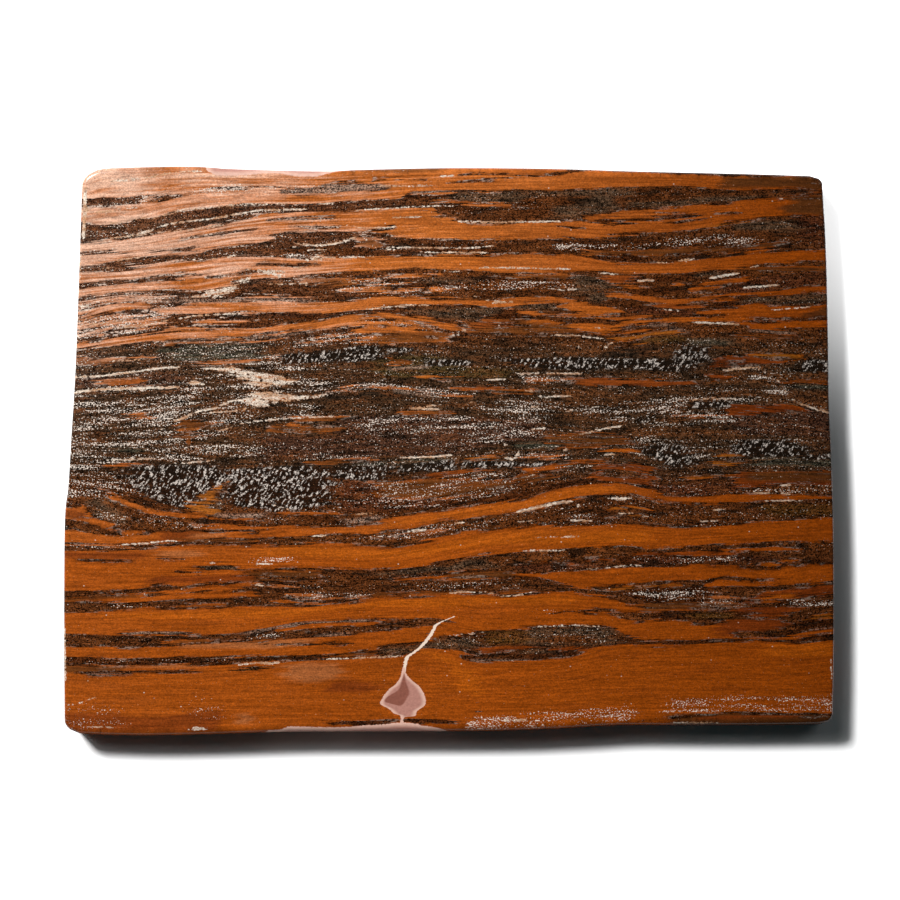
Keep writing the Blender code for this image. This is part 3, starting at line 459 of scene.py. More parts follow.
FOOT_LAYERS = [
    # dark threads through the left half
    ("gold", [(-154, -58.6, -60), (-118, -56, -59.8), (-94, -53.6, -58.6), (-84, -52.2, -58),
        (-76, -52, -57.8)]),
    ("bark", [(-152, -58.4, -59.8), (-140, -58, -59.2), (-128, -57.2, -58.4), (-120, -57.4, -58.2)]),
    ("umber", [(-118, -56.8, -57.5), (-108, -56.3, -57), (-100, -55.4, -56.6), (-84, -54.6, -55.6),
        (-76, -54, -55.6)]),
    ("salt", [(-134, -61, -62.6), (-126, -60.8, -62.6), (-118, -61, -62)]),
    ("bark", [(-112, -61, -62.4), (-88, -60.2, -61.8)]),
    ("gold", [(-114, -61.2, -62), (-90, -60.6, -61.4)]),

    ("dust", [(-78, -52.4, -56), (-56, -53.2, -56.2)]),
    ("iron", [(-78, -53.6, -55.4), (-68, -54, -56), (-38, -52.9, -56.2), (-32, -53.2, -57.2),
        (-24, -54.2, -57.6), (-16, -51.8, -57), (-8, -51.4, -57), (12, -51, -55.7), (26, -50, -56.8),
        (42, -52, -55), (47, -53.6, -55)]),
    ("speck", [(-56, -53.4, -55.6), (-46, -53, -55.6), (-31, -53.6, -55.6)]),
    ("grit", [(-20, -52.6, -55.6), (0, -51.6, -55.6), (13, -52, -54.6)]),
    ("speck", [(12, -51.4, -55), (22, -50.8, -55), (32, -50.8, -54)]),
    ("bark", [(-30, -55.8, -57.8), (4, -55.8, -56.6)]),
    ("bark", [(20, -54.8, -56.4), (26, -54.8, -56.6), (34, -55, -55.8)]),
    ("dust", [(-68, -56.2, -59.2), (-50, -55.8, -59.6), (-30, -57, -58.4)]),
    ("amber", [(-71, -58.8, -59.4), (-66, -59.2, -60.6), (-44, -60.2, -61.6)]),

    # the wide gold layer near y = -65
    ("gold", [(-154, -64.3, -72.6), (-140, -64.1, -72.9), (-116, -62.3, -73.2), (-88, -62.4, -72.8),
        (-80, -61.4, -72.2), (-72, -61.6, -70.6), (-56, -61.9, -68), (-46, -60.2, -67.4), (-38, -60, -67),
        (-30, -58.2, -66.8), (-8, -57.8, -66.5), (0, -57.2, -67.2), (8, -56.6, -71.8), (14, -57.2, -71.8),
        (18, -57.6, -71), (30, -57, -71), (34, -56.2, -70), (48, -55.8, -69.6), (52, -56.6, -69.6),
        (62, -57.6, -69.6), (66, -59, -70.4), (74, -61.4, -74.6), (84, -62.2, -74.8)]),
    ("gold", [(-8, -69.8, -74.8), (-2, -68, -73.8), (10, -66.6, -72.6)]),
    ("amber", [(-140, -64.8, -66.4), (-84, -63.2, -66.6), (-68, -62.8, -66), (-46, -61.2, -63.4),
        (-24, -59, -62), (16, -58.4, -61.6), (36, -57.6, -61), (52, -58, -61)]),
    ("ash", [(-128, -72, -72.9), (-124, -71.7, -73), (-120, -71.7, -72.6), (-112, -71.8, -72.3),
        (-102, -72, -72.4)]),
    ("ash", [(-80, -72.4, -73), (-54, -68, -68.9), (-40, -67.1, -67.9), (-22, -66.8, -67.3)]),
    ("umber", [(43, -63.7, -64.4), (60, -63, -64.2), (68, -64, -66), (76, -63.8, -67.8), (84, -64, -66.6)]),
    ("bark", [(76, -60, -64), (92, -60, -63), (112, -60, -63.2)]),
    ("coal", [(65, -57, -57.6), (80, -54.6, -60.2), (92, -53.6, -60.2), (102, -54.4, -60),
        (104.6, -55.6, -59.4), (105.6, -57, -58.6)]),
    ("salt", [(68, -57, -58), (71, -55.8, -59), (79, -55, -59.8), (84, -55, -59.6)]),
    ("salt", [(78, -54.6, -59.8), (90, -53.6, -59.8), (98, -54, -59.6), (105, -56, -59)]),
    ("ochre", [(61, -55.6, -56.2), (74, -53.6, -54.8), (88, -53, -53.8), (94, -53.2, -53.7)]),

    # dark threads under it
    ("bark", [(-112, -75.2, -76.4), (-96, -75, -76.2)]),
    ("gold", [(-67, -70.7, -71.4), (-44, -68.5, -69.8), (-22, -67.6, -68.2)]),
    ("salt", [(-78, -72.6, -74.8), (-64, -72.2, -74.2)]),
    ("gold", [(-154, -77.5, -81.5), (-136, -77.6, -82.2), (-128, -78.6, -82.5), (-108, -77, -82.1),
        (-76, -75.2, -81.6), (-36, -72.6, -79.8), (-24, -71.4, -77.3), (-10, -70.2, -76.4),
        (-6, -69.6, -75)]),
    ("tan", [(-108, -76.8, -78), (-78, -75.6, -78.6), (-54, -74.4, -76)]),
    ("coal", [(-154, -81.6, -84.4), (-136, -82.2, -85.4), (-120, -82.8, -85), (-96, -82, -85),
        (-88, -82, -84.2), (-30, -79.6, -81.6), (-22, -77.6, -81), (-10, -76.6, -78.8), (-6, -75.2, -78.6),
        (6, -73.4, -78.6), (12, -73, -78.1), (16, -71.2, -77.8), (30, -71.2, -77.2), (33, -70.2, -77.3),
        (56, -69.8, -77.7), (63, -69.6, -77.2), (70, -73, -76.5), (72, -74.4, -76.4), (92, -75.6, -76.8),
        (118, -74.6, -75.6), (130, -75, -75.3)]),
    ("steel", [(-28, -79, -81), (-20, -78, -80.4), (-10, -77, -78.6), (0, -75, -78.4), (12, -73.8, -77.8)]),
    ("bark", [(-46, -80.8, -81.8), (-30, -80, -81.4)]),
    ("olive", [(15, -71.6, -76.8), (33, -71.4, -76.8)]),
    ("steel", [(31, -70.6, -77), (58, -70.2, -77.2), (66, -71, -76.6)]),
    ("umber", [(36, -73.4, -76), (48, -73, -76.4), (60, -73.6, -76.4)]),
    ("speck", [(-152, -82, -84), (-140, -82.4, -85), (-120, -83, -84.8), (-80, -82, -83.6)]),
    ("grit", [(-4, -74.6, -78), (14, -73, -77.4)]),
    ("speck", [(31, -70.4, -76.6), (58, -70.2, -77.2), (67, -71.4, -76.4)]),
    ("rust", [(10, -78.6, -80.8), (20, -77.8, -80), (36, -77.6, -78.3), (44, -77.7, -79.2),
        (60, -77.8, -79.6)]),
    ("coal", [(3, -81.4, -81.8), (14, -80.8, -83), (26, -79.6, -83), (34, -78.2, -82.8), (48, -79.8, -81.4),
        (62, -79.5, -79.9)]),
    ("steel", [(26, -79.8, -80.6), (36, -78.5, -80.2), (42, -79.1, -80.4)]),

    # the layers that fan out towards the right side
    ("dust", [(103, -56.6, -62), (108, -55.6, -63), (119, -58, -62.6)]),
    ("gold", [(103, -53.6, -55), (106, -51.8, -55), (110, -51, -53.6), (122, -51.4, -53.8),
        (138, -50.2, -52.8), (154, -49.6, -51.4)]),
    ("rust", [(117, -59, -61), (128, -56, -60.2), (146, -53.4, -58), (154, -53, -57)]),
    ("amber", [(122, -58.4, -60.2), (138, -56, -58.6)]),
    ("salt", [(135, -60.4, -61.2), (144, -58.4, -62.2), (154, -57.8, -62)]),
    ("rust", [(113, -63.2, -64), (118, -62, -65), (124, -61.8, -66.4), (130, -61.4, -65.6),
        (139, -62.4, -63.4)]),
    ("coal", [(82, -65, -66.4), (90, -63, -66.8), (94, -64, -67.4), (104, -63.6, -67.8),
        (114, -63.6, -66.6), (119, -65.2, -66)]),
    ("olive", [(96, -64.4, -67), (113, -64, -66.4)]),
    ("gold", [(76, -67.8, -74.8), (92, -67.4, -75.2), (100, -68.6, -75.2), (120, -66.6, -74.5),
        (128, -66.8, -74.6), (134, -67, -73)]),
    ("rust", [(106, -67.8, -73.6), (122, -66.4, -74), (130, -66.2, -73), (138, -66.8, -70.4)]),
    ("umber", [(112, -72.4, -74.4), (128, -71.2, -74), (134, -69.6, -72.4), (139, -68.8, -70)]),
    ("coal", [(125, -65.9, -66.6), (132, -65.4, -66.6), (138, -65.6, -70), (142, -66.4, -70.8),
        (148, -66.4, -71), (154, -65.4, -70.4)]),
    ("ochre", [(141.5, -67.4, -67.8), (146, -65.5, -67), (154, -64.4, -65.4)]),
    ("coal", [(125, -73.8, -74.8), (132, -71.8, -74.2), (140, -69.6, -72.4), (154, -68.6, -70.8)]),
    ("gold", [(130, -74.6, -75.2), (134, -73.5, -75), (146, -71, -73.1), (154, -70.2, -72.3)]),
    ("coal", [(129, -75.4, -76), (136, -75.1, -76.4), (144, -73.2, -75.6), (154, -72.3, -74.4)]),

    # the broad gold layer along the near edge, and what is in it
    ("gold", [(-154, -85.2, -118), (-136, -85.7, -118), (-104, -85, -118), (-96, -85.2, -118),
        (-88, -84.4, -118), (-18, -80.8, -118), (-10, -79, -118), (5, -79.2, -118), (8, -82.6, -118),
        (14, -83.2, -118), (34, -83, -118), (54, -80.8, -118), (62, -77.4, -118), (68, -76.8, -118),
        (92, -76.9, -118), (124, -75.6, -118), (136, -76.5, -118), (154, -74.5, -118)]),
    ("bark", [(-154, -85, -88), (-136, -85.8, -87.6), (-128, -85.6, -87)]),
    ("tan", [(-140, -85.2, -86.4), (-98, -85.2, -86)]),
    ("coal", [(-148, -88, -88.4), (-138, -87, -88.9), (-132, -87.1, -88.8), (-126, -88, -88.5)]),
    ("coal", [(-123, -87.6, -87.9), (-116, -87, -88), (-104, -87, -88), (-99, -87.5, -87.8)]),
    ("olive", [(-88, -87, -87.3), (-82, -86.1, -87.2), (-69, -85, -85.6)]),
    ("tan", [(-66, -85, -91), (-56, -84, -92), (-44, -84, -90)]),
    ("tan", [(-84, -104.6, -108), (-78, -104, -109)]),
    ("rust", [(-152, -104, -112), (-136, -104, -111.4), (-120, -106, -112), (-104, -104, -112),
        (-92, -103, -111)]),
    ("rust", [(-48, -92, -96), (-36, -91, -96), (-28, -93, -95)]),
    ("amber", [(126, -76.8, -81.4), (138, -77, -81.6), (154, -75.4, -81.4)]),
    ("coal", [(-50, -107.4, -108.8), (-36, -106.9, -108.8), (-20.6, -106.3, -107.9)]),
    ("coal", [(-17.4, -106.2, -108), (3, -107.4, -108.3)]),
    ("speck", [(-154, -98, -112), (-140, -99, -112), (-128, -102, -112)]),
    ("speck", [(-106, -99, -106), (-98, -97, -107), (-88, -99, -106)]),
    ("salt", [(8, -105, -111.4), (44, -103, -110.4), (76, -101, -106.6)]),
    ("salt", [(86, -98, -104.6), (104, -98, -104)]),
    ("salt", [(104, -98, -103.6), (116, -97, -103.6), (140, -97, -103.6), (154, -95.6, -103.8)]),
    ("bark", [(88, -104.8, -109.6), (130, -104, -109.4), (154, -104.2, -109)]),
    ("coal", [(78, -107, -107.6), (96, -104.9, -105.8), (112, -103.9, -104.6), (134, -103.8, -104.9),
        (144, -104, -105.5), (154, -104, -105.5)]),
    ("rust", [(98, -105.8, -106.8), (126, -104.8, -106), (138, -105.2, -106)]),
]

# Stretches of coarse pale grains on black.
COBBLES = [
    [(-66, 38, 34.5), (-46, 40.4, 35.6), (-36, 41.8, 35.6), (-28, 40.8, 36.4), (-26, 39.4, 37)],
    [(-24, 40.2, 39.2), (-20, 41, 39), (-14, 41, 39.6)],
    [(-9, 36.4, 33.6), (0, 36, 34), (8, 35.8, 33.4)],
    [(24, 37, 35.6), (28, 36.8, 33.4), (52, 37.4, 32.4), (68, 36.8, 32.6), (84, 36.8, 32.2),
        (90, 36.6, 31.6), (99, 34.6, 32.4)],
    [(91, 39.4, 36), (94, 41, 35.6), (98, 41.6, 35), (102, 41.2, 36)],
    [(140, 34.6, 31.6), (144, 36.4, 31.2), (152, 36.2, 31.2)],
    [(96, 19.6, 17), (113, 19.6, 17.4)],
    [(78, 2, 0), (84, 3, -4), (92, 1.6, -6.6), (98, -2, -5)],
    [(112, 2.4, 0), (120, 4.4, -2), (132, 4.6, -2.2), (142, 1.6, -1.4)],
]

# Threads of pale quartz.
PALE_THREADS = [
    # far edge and the far dark layer
    (0.7, [(-142, 108.2), (-132, 107.8), (-122, 108.2), (-110, 110.6), (-97, 111.3)]),
    (0.4, [(-136, 107.2), (-124, 107.2)]),
    (0.7, [(-142, 95.5), (-139, 94.8), (-132, 95.6), (-129, 96.6)]),
    (0.5, [(-127, 96.2), (-122, 97.3)]),
    (0.7, [(-136, 90.4), (-116, 93), (-106, 95.6), (-84, 97.9), (-64, 98.2)]),
    (0.8, [(-52, 98.3), (-46, 98.3)]),
    (0.6, [(-135, 84.4), (-124, 85.8)]),
    (1.2, [(-124, 86.2), (-117, 87.8)]),
    (0.7, [(-116, 88.6), (-112, 90), (-107, 91), (-96, 91.9), (-76, 95.6), (-56, 96)]),
    (0.4, [(-139, 82.5), (-134, 83.6)]),
    (0.4, [(-127, 85), (-116, 86.8), (-104, 87.6), (-88, 90.2)]),
    (0.5, [(-134, 74.8), (-130, 76.1), (-122, 77)]),
    (0.4, [(-104, 76.1), (-95, 76), (-92, 76.7)]),
    (0.6, [(-90, 76.5), (-84, 78)]),
    (0.5, [(-28, 105.2), (-6, 105.4)]),
    (0.6, [(-4, 109), (3, 109.5)]),
    (0.4, [(-38, 95.6), (-2, 97.6), (4, 96.9)]),
    (0.5, [(-24, 92.6), (-10, 93)]),
    (0.5, [(-42, 90), (-34, 88.6), (-24, 88.8), (-19.5, 89.4)]),
    (0.8, [(-63, 83.6), (-60, 82.4), (-52, 81.6), (-44, 82.6), (-37, 84.8), (-35.5, 86)]),
    (0.7, [(-74, 79.5), (-71.5, 81.8)]),
    (0.5, [(-64, 81), (-61, 81)]),
    (0.5, [(-59, 79.2), (-56, 79.8), (-46.5, 80.3)]),
    (0.5, [(-51, 78.2), (-48, 76.7), (-28.5, 77.3)]),
    (1, [(-34.5, 85.2), (-31.6, 83)]),
    (0.5, [(-27, 80.9), (8, 80.6), (19, 81.6)]),
    (0.4, [(-28, 80.1), (-20, 79.8)]),
    (0.5, [(-12, 79), (16, 78.8)]),
    (0.7, [(-62, 72.6), (-58, 72.8)]),
    (0.4, [(-74, 66.6), (-70, 66.2), (-58, 66.6)]),
    (0.4, [(-57.5, 68.5), (-56.3, 66.5), (-57.5, 63)]),
    (0.7, [(-40, 67), (-36, 67)]),
    (0.4, [(-22, 66.7), (-16, 66.7)]),
    (0.6, [(2, 91.2), (18, 90.9), (46, 91.3)]),
    (0.6, [(12, 72.6), (16, 72.9), (49, 72.3)]),
    (0.4, [(-1, 71.2), (6, 71.3)]),
    (0.5, [(58, 70.5), (61, 70.7), (68, 70.1)]),
    (0.8, [(39, 64.6), (42, 64.5)]),
    (0.5, [(42, 63.9), (51.5, 64.3)]),
    (1, [(17, 58.8), (19, 59.2), (26, 59.2)]),
    (0.4, [(13, 59.8), (24, 59.6)]),
    (0.4, [(7, 61.4), (12, 61.4)]),
    (0.5, [(82, 74.9), (88, 74.7)]),
    (0.9, [(102, 68.4), (116, 70.8)]),
    (0.8, [(74, 67.6), (82, 67.8)]),

    # the layers near y = 50 and the dark heart
    (0.5, [(-138.5, 54.6), (-134, 52.2)]),
    (0.5, [(-144, 50), (-132, 51.5), (-126, 51.6)]),
    (0.5, [(-140, 49), (-135, 46.5)]),
    (0.6, [(-132, 49), (-120, 50), (-112, 52)]),
    (0.5, [(-147, 58), (-145, 56.5), (-142, 58.6)]),
    (0.5, [(-108, 52.6), (-100, 53.8), (-80, 54.7)]),
    (0.5, [(-92, 53), (-88, 53)]),
    (0.5, [(-34, 56.2), (-16, 58), (-6, 57.9)]),
    (0.4, [(-136, 35.6), (-121, 36.3)]),
    (0.8, [(-150, 29.3), (-138, 29.8), (-112, 33.2), (-106, 33.3)]),
    (0.8, [(-98, 32.8), (-90, 32.5), (-84, 33.2)]),
    (0.6, [(-88, 30.6), (-79, 29)]),
    (1, [(-150, 23), (-140, 24.4), (-107, 25.4)]),
    (1.4, [(-104, 26.6), (-101, 27.4), (-97, 26.4)]),
    (0.5, [(-110.5, 12), (-110, 10.4), (-112, 9), (-116, 8.6)]),
    (0.8, [(-110, 11.6), (-104, 13.6), (-101, 15.4), (-92, 17.2), (-88, 19.6), (-77, 21)]),
    (0.5, [(-96, 15.2), (-84, 16), (-80, 16.8), (-77, 18)]),
    (0.5, [(-92, 8), (-88, 8.8), (-82, 11), (-75, 12)]),
    (0.5, [(-78, 11.8), (-64, 13), (-44.5, 13.8)]),
    (0.7, [(-73, 17.8), (-66, 19.9), (-62, 20.4)]),
    (0.8, [(-16, 16.6), (-13, 17), (-3, 16.4)]),
    (0.6, [(42, 49.2), (46, 50.6)]),
    (0.5, [(40, 46), (48, 46.1), (64, 44.2)]),
    (0.6, [(3, 47.4), (8.5, 48.2)]),
    (0.4, [(0, 46), (6, 45.9)]),
    (0.5, [(57, 49), (62, 49.1)]),
    (0.5, [(52, 44), (51, 38.4), (49, 37.8)]),
    (0.8, [(60, 39.6), (63, 42.2), (66, 43.2)]),
    (0.8, [(25, 31.4), (29, 30.2), (31, 30.8)]),
    (0.6, [(32, 30.8), (54, 30.8)]),
    (0.6, [(14, 28.2), (24, 28.7)]),
    (0.5, [(30, 24), (33, 23.8), (36.4, 21.2), (46, 22), (50.4, 21.4)]),
    (0.7, [(31, 17.5), (36, 17.8)]),
    (0.8, [(46, 15.8), (49, 16.4), (51, 16.2)]),
    (0.7, [(57, 17.4), (60, 17.6)]),
    (0.8, [(6.5, 18.4), (9, 19.4)]),
    (0.6, [(32, 8.4), (40, 9.4)]),
    (0.7, [(51, 6.4), (62, 9), (70, 10.2)]),
    (0.6, [(84, 57.2), (86, 56.4), (92, 55.5)]),
    (0.4, [(128, 56.1), (143, 57.1), (145, 57.9)]),
    (0.7, [(96, 51.2), (115, 50.4), (116, 49.2)]),
    (0.9, [(108, 32), (123, 33.4)]),
    (0.7, [(122, 33), (130.4, 28.4), (133.6, 24.4), (135.6, 20.8), (140.4, 18.4), (152, 14.8)]),
    (0.5, [(96, 20.2), (104, 20.8), (115, 20.8)]),

    # the near half
    (0.6, [(-136, -3.6), (-116, -3)]),
    (0.5, [(-110, -4.6), (-104, -4.9), (-93, -3.6)]),
    (0.5, [(-141, -17.4), (-136, -16.4)]),
    (0.5, [(-131, -37.2), (-118, -36.5), (-112, -35.6), (-107.5, -35.9)]),
    (0.8, [(-20, -2.6), (-8, -2.4), (2, -1.6)]),
    (0.6, [(-55, -33.8), (-48, -33.6)]),
    (1, [(-17, -32), (-8, -31.2)]),
    (1, [(2, -28.8), (7, -28.2)]),
    (0.5, [(-78, -44.8), (-69, -44.9)]),
    (0.6, [(33.4, -34.4), (37, -34.4)]),
    (0.6, [(38.2, -34.3), (43, -34.2)]),
    (0.6, [(44.2, -34.1), (52, -33.9)]),
    (0.6, [(19, 3.4), (21, 3.8), (22, 2.4), (24, 2.2)]),
    (1.2, [(22, -2.6), (25, -3.2), (27, -2), (29, 1.6)]),
    (1, [(44, -1), (47.6, 1.4)]),
    (0.4, [(29, -10.8), (36, -8.8)]),
    (0.6, [(22, -13.8), (26, -14)]),
    (0.6, [(60, -2), (62, -1.4), (67, -1.2)]),
    (1.1, [(26, -24.4), (43, -20.6), (48, -20), (50, -20.6), (52.6, -23)]),
    (1, [(62.6, -18.6), (65, -19), (72.6, -18.8)]),
    (0.6, [(66, -24.8), (74, -24.6)]),
    (0.6, [(27, -28.2), (36.6, -27.7)]),
    (0.8, [(47, -27.3), (57, -27.6)]),
    (0.6, [(76, -26.4), (83, -25.2)]),
    (0.4, [(53, -46.8), (60, -46.6), (72, -45.4), (78, -45.5)]),
    (0.5, [(28, -39.6), (47, -39.4)]),
    (0.8, [(130, -13.8), (137, -13.3)]),
    (1, [(132, -16.6), (134, -17.4), (136, -17.2)]),
    (0.5, [(120, -16.6), (130, -16.6)]),
    (0.5, [(124, -19.8), (141, -19.7)]),
    (0.6, [(104, -23.6), (110, -23)]),
    (0.5, [(99, -27.8), (108, -27.8)]),
    (0.6, [(-37, -25.2), (-31, -24.6), (-29, -25.4), (-29.4, -26.6)]),
    (0.5, [(-98, -42.6), (-96, -44.4), (-92, -44.6)]),

    # the near edge
    (1, [(-78, -53), (-74, -53.3), (-72.4, -53.9)]),
    (0.5, [(0, -56.4), (10, -55.8), (15, -56.2), (20, -57.6), (26, -57.6), (34, -56)]),
    (0.3, [(0, -73.4), (14, -72.1)]),
    (0.5, [(34, -69.8), (48, -69.2), (62, -69.6)]),
    (1, [(-76, -84.1), (-70, -84.3), (-66.5, -83.8)]),
    (0.8, [(-84, -85), (-78, -84.3)]),
    (0.5, [(-50, -82.7), (-17.5, -81.4)]),
    (1.3, [(-103.6, -110.6), (-100, -110.2), (-95.4, -110.4)]),
    (0.4, [(-152, -99.5), (-142, -90)]),
    (0.4, [(-152.6, -101), (-147, -100.5), (-140, -97.4)]),
    (0.4, [(-146, -110), (-139, -109.6), (-132, -110)]),
    (0.8, [(20, -107), (32, -106.8)]),
    (0.6, [(88, -108), (108, -107.9)]),
    (0.6, [(-152.8, -68), (-152.4, -92)]),
    (0.5, [(151.4, -81), (152.2, -92)]),
]

# The white vein that runs down to the filled hollow, as (x, y, width).
VEIN = [(2, -65.8, 0.4), (-0.5, -66.8, 0.5), (-2.4, -67.6, 0.7), (-4, -68.4, 0.9), (-5.4, -69.4, 0.9),
        (-6.2, -71, 1.0), (-7.2, -73, 1.2), (-8.6, -74.8, 1.3), (-9.8, -76.4, 1.2), (-11.4, -78, 1.1),
        (-13.4, -79.6, 1.1), (-15.2, -80.8, 1.2), (-16.6, -82, 1.3), (-17.2, -83.6, 1.1),
        (-17.6, -85.6, 0.9), (-17.8, -88, 0.9)]

# Thin grey-brown streaks.
ASH_THREADS = [
    (0.5, [(-108, 84.2), (-100, 85), (-88, 87)]),
    (0.7, [(-72, 91.6), (-44, 92.3)]),
    (0.4, [(-15, 102.4), (0, 102.8)]),
    (0.5, [(-22, 24), (-4, 21.4)]),
    (0.9, [(-24, 32.6), (-8, 33.4)]),
    (0.4, [(74, 49.6), (86, 50), (92, 48), (96, 46)]),
    (0.5, [(120, 48), (136, 46.8)]),
    (0.5, [(-145, -88.9), (-125, -88.8)]),
    (0.5, [(8, -83.3), (32, -83.3)]),
    (0.4, [(-52, -73.2), (-40, -72.4)]),
    (0.5, [(0, -57), (14, -57.1)]),
]

# Thin black streaks.
INK_THREADS = [
    (0.6, [(-92, 85.8), (-76, 88.2)]),
    (0.4, [(-118, 63.6), (-104, 63.8)]),
    (0.4, [(-46, 107), (-36, 107.5)]),
    (0.4, [(-30, 107.8), (-8, 108)]),
    (0.5, [(-64, 104.2), (-48, 104.5)]),
    (0.4, [(-66, 102.2), (-60, 101.8), (-46, 102.4)]),
    (0.8, [(-37, 87.9), (-28, 87.8), (-21, 88.9)]),
    (0.4, [(-64, 89.2), (-48, 89), (-42, 89.4)]),
    (0.7, [(-26, 79.6), (-20, 79.3), (17, 79.8)]),
    (0.6, [(-77, 73.9), (-74, 74.3), (-64, 74.2)]),
    (0.5, [(-63, 73.3), (-56, 74.3), (-50, 74.2)]),
    (0.7, [(-24, 71.7), (-16, 72.3), (-12, 72)]),
    (0.6, [(-78, 68), (-66, 68.2)]),
    (0.5, [(-1, 106.1), (20, 108.6), (36, 109.2), (52, 111.2)]),
    (0.4, [(4, 109.6), (10, 110.6), (24, 110)]),
    (0.4, [(42, 89), (54, 88.6)]),
    (0.5, [(56, 90.8), (70, 92.2), (80, 91.8), (86, 90.9), (90, 91), (97, 92.2), (102, 92.4)]),
    (0.5, [(60, 89.5), (74, 90.6)]),
    (0.5, [(64, 85.4), (80, 86.4)]),
    (0.7, [(16, 70.5), (48, 70.3)]),
    (0.4, [(104, 94.6), (116, 94.6)]),
    (0.8, [(74, 77), (92, 76.8), (120, 80), (128, 80.2), (136, 81.2)]),
    (0.5, [(86, 69.8), (96, 70.6), (104, 71.8)]),
    (0.5, [(100, 64.6), (110, 66), (114, 67.2)]),
    (0.5, [(-112, 51.8), (-102, 54.1), (-76, 55)]),
    (0.6, [(-104, 49.8), (-84, 49.8), (-48, 53)]),
    (0.7, [(-79, 54.3), (-64, 54.7), (-52, 54), (-33, 55.6)]),
    (0.6, [(-74, 46.7), (-54, 48)]),
    (0.7, [(-36, 52.4), (-30, 52.8), (-14, 51.2)]),
    (0.5, [(-120, 43.2), (-114, 43), (-100, 44.3)]),
    (0.5, [(62, 48.4), (80, 50.6)]),
    (0.5, [(-148, -43.4), (-124, -44)]),
    (0.5, [(-116, -42.6), (-104, -43)]),
    (0.5, [(-109, -47.6), (-103, -48.6), (-98, -48.8)]),
    (0.5, [(-90, -31.8), (-76, -31.6)]),
    (0.5, [(-108, -36.6), (-76, -36.8)]),
    (0.6, [(-79, -46.8), (-52, -46.6)]),
    (0.5, [(104, -40.4), (128, -39)]),
    (0.5, [(128, -44.4), (150, -43.4)]),
    (0.5, [(0, -51.6), (10, -51.4), (28, -49.8), (38, -51.4)]),
    (0.5, [(-76, -76.6), (-64, -77), (-38, -76.4)]),
    (0.5, [(-60, -59.7), (-36, -60)]),
    (0.5, [(11.5, -97.6), (12.2, -106)]),
    (0.5, [(96, -68.3), (102, -68.9), (112, -67.7)]),
]

# The filled hollow and its darker core, as (y, x) of their left and right edges.
HOLLOW_LEFT = [(-108.4, -19.9), (-106.6, -19.2), (-105.2, -19.4), (-104.4, -21.6), (-103, -23.2),
               (-102, -24.6), (-101.2, -26.2), (-100, -27.3), (-98.8, -26.8), (-96.8, -25.6), (-94.8, -24),
               (-92.8, -21.4), (-91, -20), (-89, -19), (-86.6, -18.5), (-86, -18.3)]
HOLLOW_RIGHT = [(-108.4, -18.2), (-106.6, -18.2), (-105.6, -17.2), (-105.2, -13.4), (-103.6, -12.8),
                (-102.6, -11.8), (-101.4, -10), (-100, -9.2), (-98, -9.4), (-96, -10.2), (-93.8, -11.6),
                (-92, -13.6), (-90, -15.8), (-88, -17.2), (-86, -17.6)]
CORE_LEFT = [(-101.2, -20), (-100.8, -21.4), (-100.2, -23.6), (-99.2, -25.6), (-98.2, -25), (-96.6, -22.8),
             (-95.4, -20.8), (-94, -19.6), (-92, -19), (-88.6, -18)]
CORE_RIGHT = [(-101.2, -19.4), (-100.8, -18.6), (-99.4, -17.4), (-97.8, -16.6), (-96, -15.8), (-94.2, -16.2),
              (-92, -17), (-88.6, -17.6)]
# Where the filling of the chipped edges ends on the face.
NEAR_STRIP = [(-74, -112.6), (-72, -111), (-68, -110.8), (-65, -110), (-64, -109.4), (-56, -109.6),
              (-48, -109.8), (-40, -109.6), (-36, -109.2), (-28, -108.7), (-24, -108.4), (-20, -107.9),
              (-16, -108), (-12, -108.5), (-10, -109.2), (-7, -109.6), (-3, -110.4), (-1, -112)]
FAR_STRIP = [(-97, 113.6), (-96, 111.6), (-95, 110.3), (-92, 109.4), (-84, 109.4), (-76, 110), (-72, 110.4),
             (-68, 110.3), (-60, 109.1), (-53, 109), (-50, 109.7), (-47, 110.6), (-43, 111.6), (-40, 113)]

# Pale patches and other things that lie over the layers.
LATE_LAYERS = [
    ("chalk", [(-103, 61.5, 60.5), (-98, 62.8, 61.5), (-91, 64.5, 61), (-88, 65.8, 62.5), (-85, 66.5, 64.5),
        (-80, 70, 68)]),
    ("chalk", [(-78, 72, 71), (-67, 71.5, 69.2), (-65, 70.5, 69.5)]),
    ("chalk", [(-57.5, 75.8, 75), (-54.5, 78.4, 75.5), (-52.5, 78.6, 75.5), (-51, 77, 76)]),
    ("frost", [(-64, 79, 76), (-58, 79, 76)]),
    ("salt", [(-81, 36, 32), (-72, 36.4, 32), (-60, 34.6, 28), (-56, 32, 28)]),
    ("salt", [(-104, 30, 17), (-92, 30.4, 16.6), (-82, 28, 18), (-72, 27, 20), (-58, 28, 23.4),
        (-46, 27, 24)]),
    ("speck", [(-96, 14.6, 9), (-50, 20, 14)]),
    ("chalk", [(-92, 33.2, 32), (-86, 33, 31), (-81, 32, 27.6), (-72, 30.4, 24.6), (-68, 29.4, 26),
        (-62, 27.4, 26.8)]),
    ("chalk", [(-82, 22.6, 18.4), (-80, 24, 18), (-76, 23.4, 17.5), (-68, 23.6, 19.6), (-64, 23.6, 20),
        (-60, 22.4, 20.4), (-52, 22.2, 21), (-46.5, 23, 22.4)]),
    ("frost", [(120, 31.6, 28.4), (129, 31, 28)]),
    ("frost", [(128, 26, 24), (132, 24, 21), (136, 21, 20)]),
    ("frost", [(-79, -42.2, -44), (-60, -42.2, -44)]),
    ("frost", [(33, -63, -65), (43, -63, -65)]),
    ("salt", [(-152, -8, -18), (-138, -8.6, -19), (-124, -10, -17)]),
    ("amber", [(-10, -78.6, -80.4), (-2, -80.4, -84), (4, -83, -92), (8, -86, -96), (13, -92, -98.4)]),
]
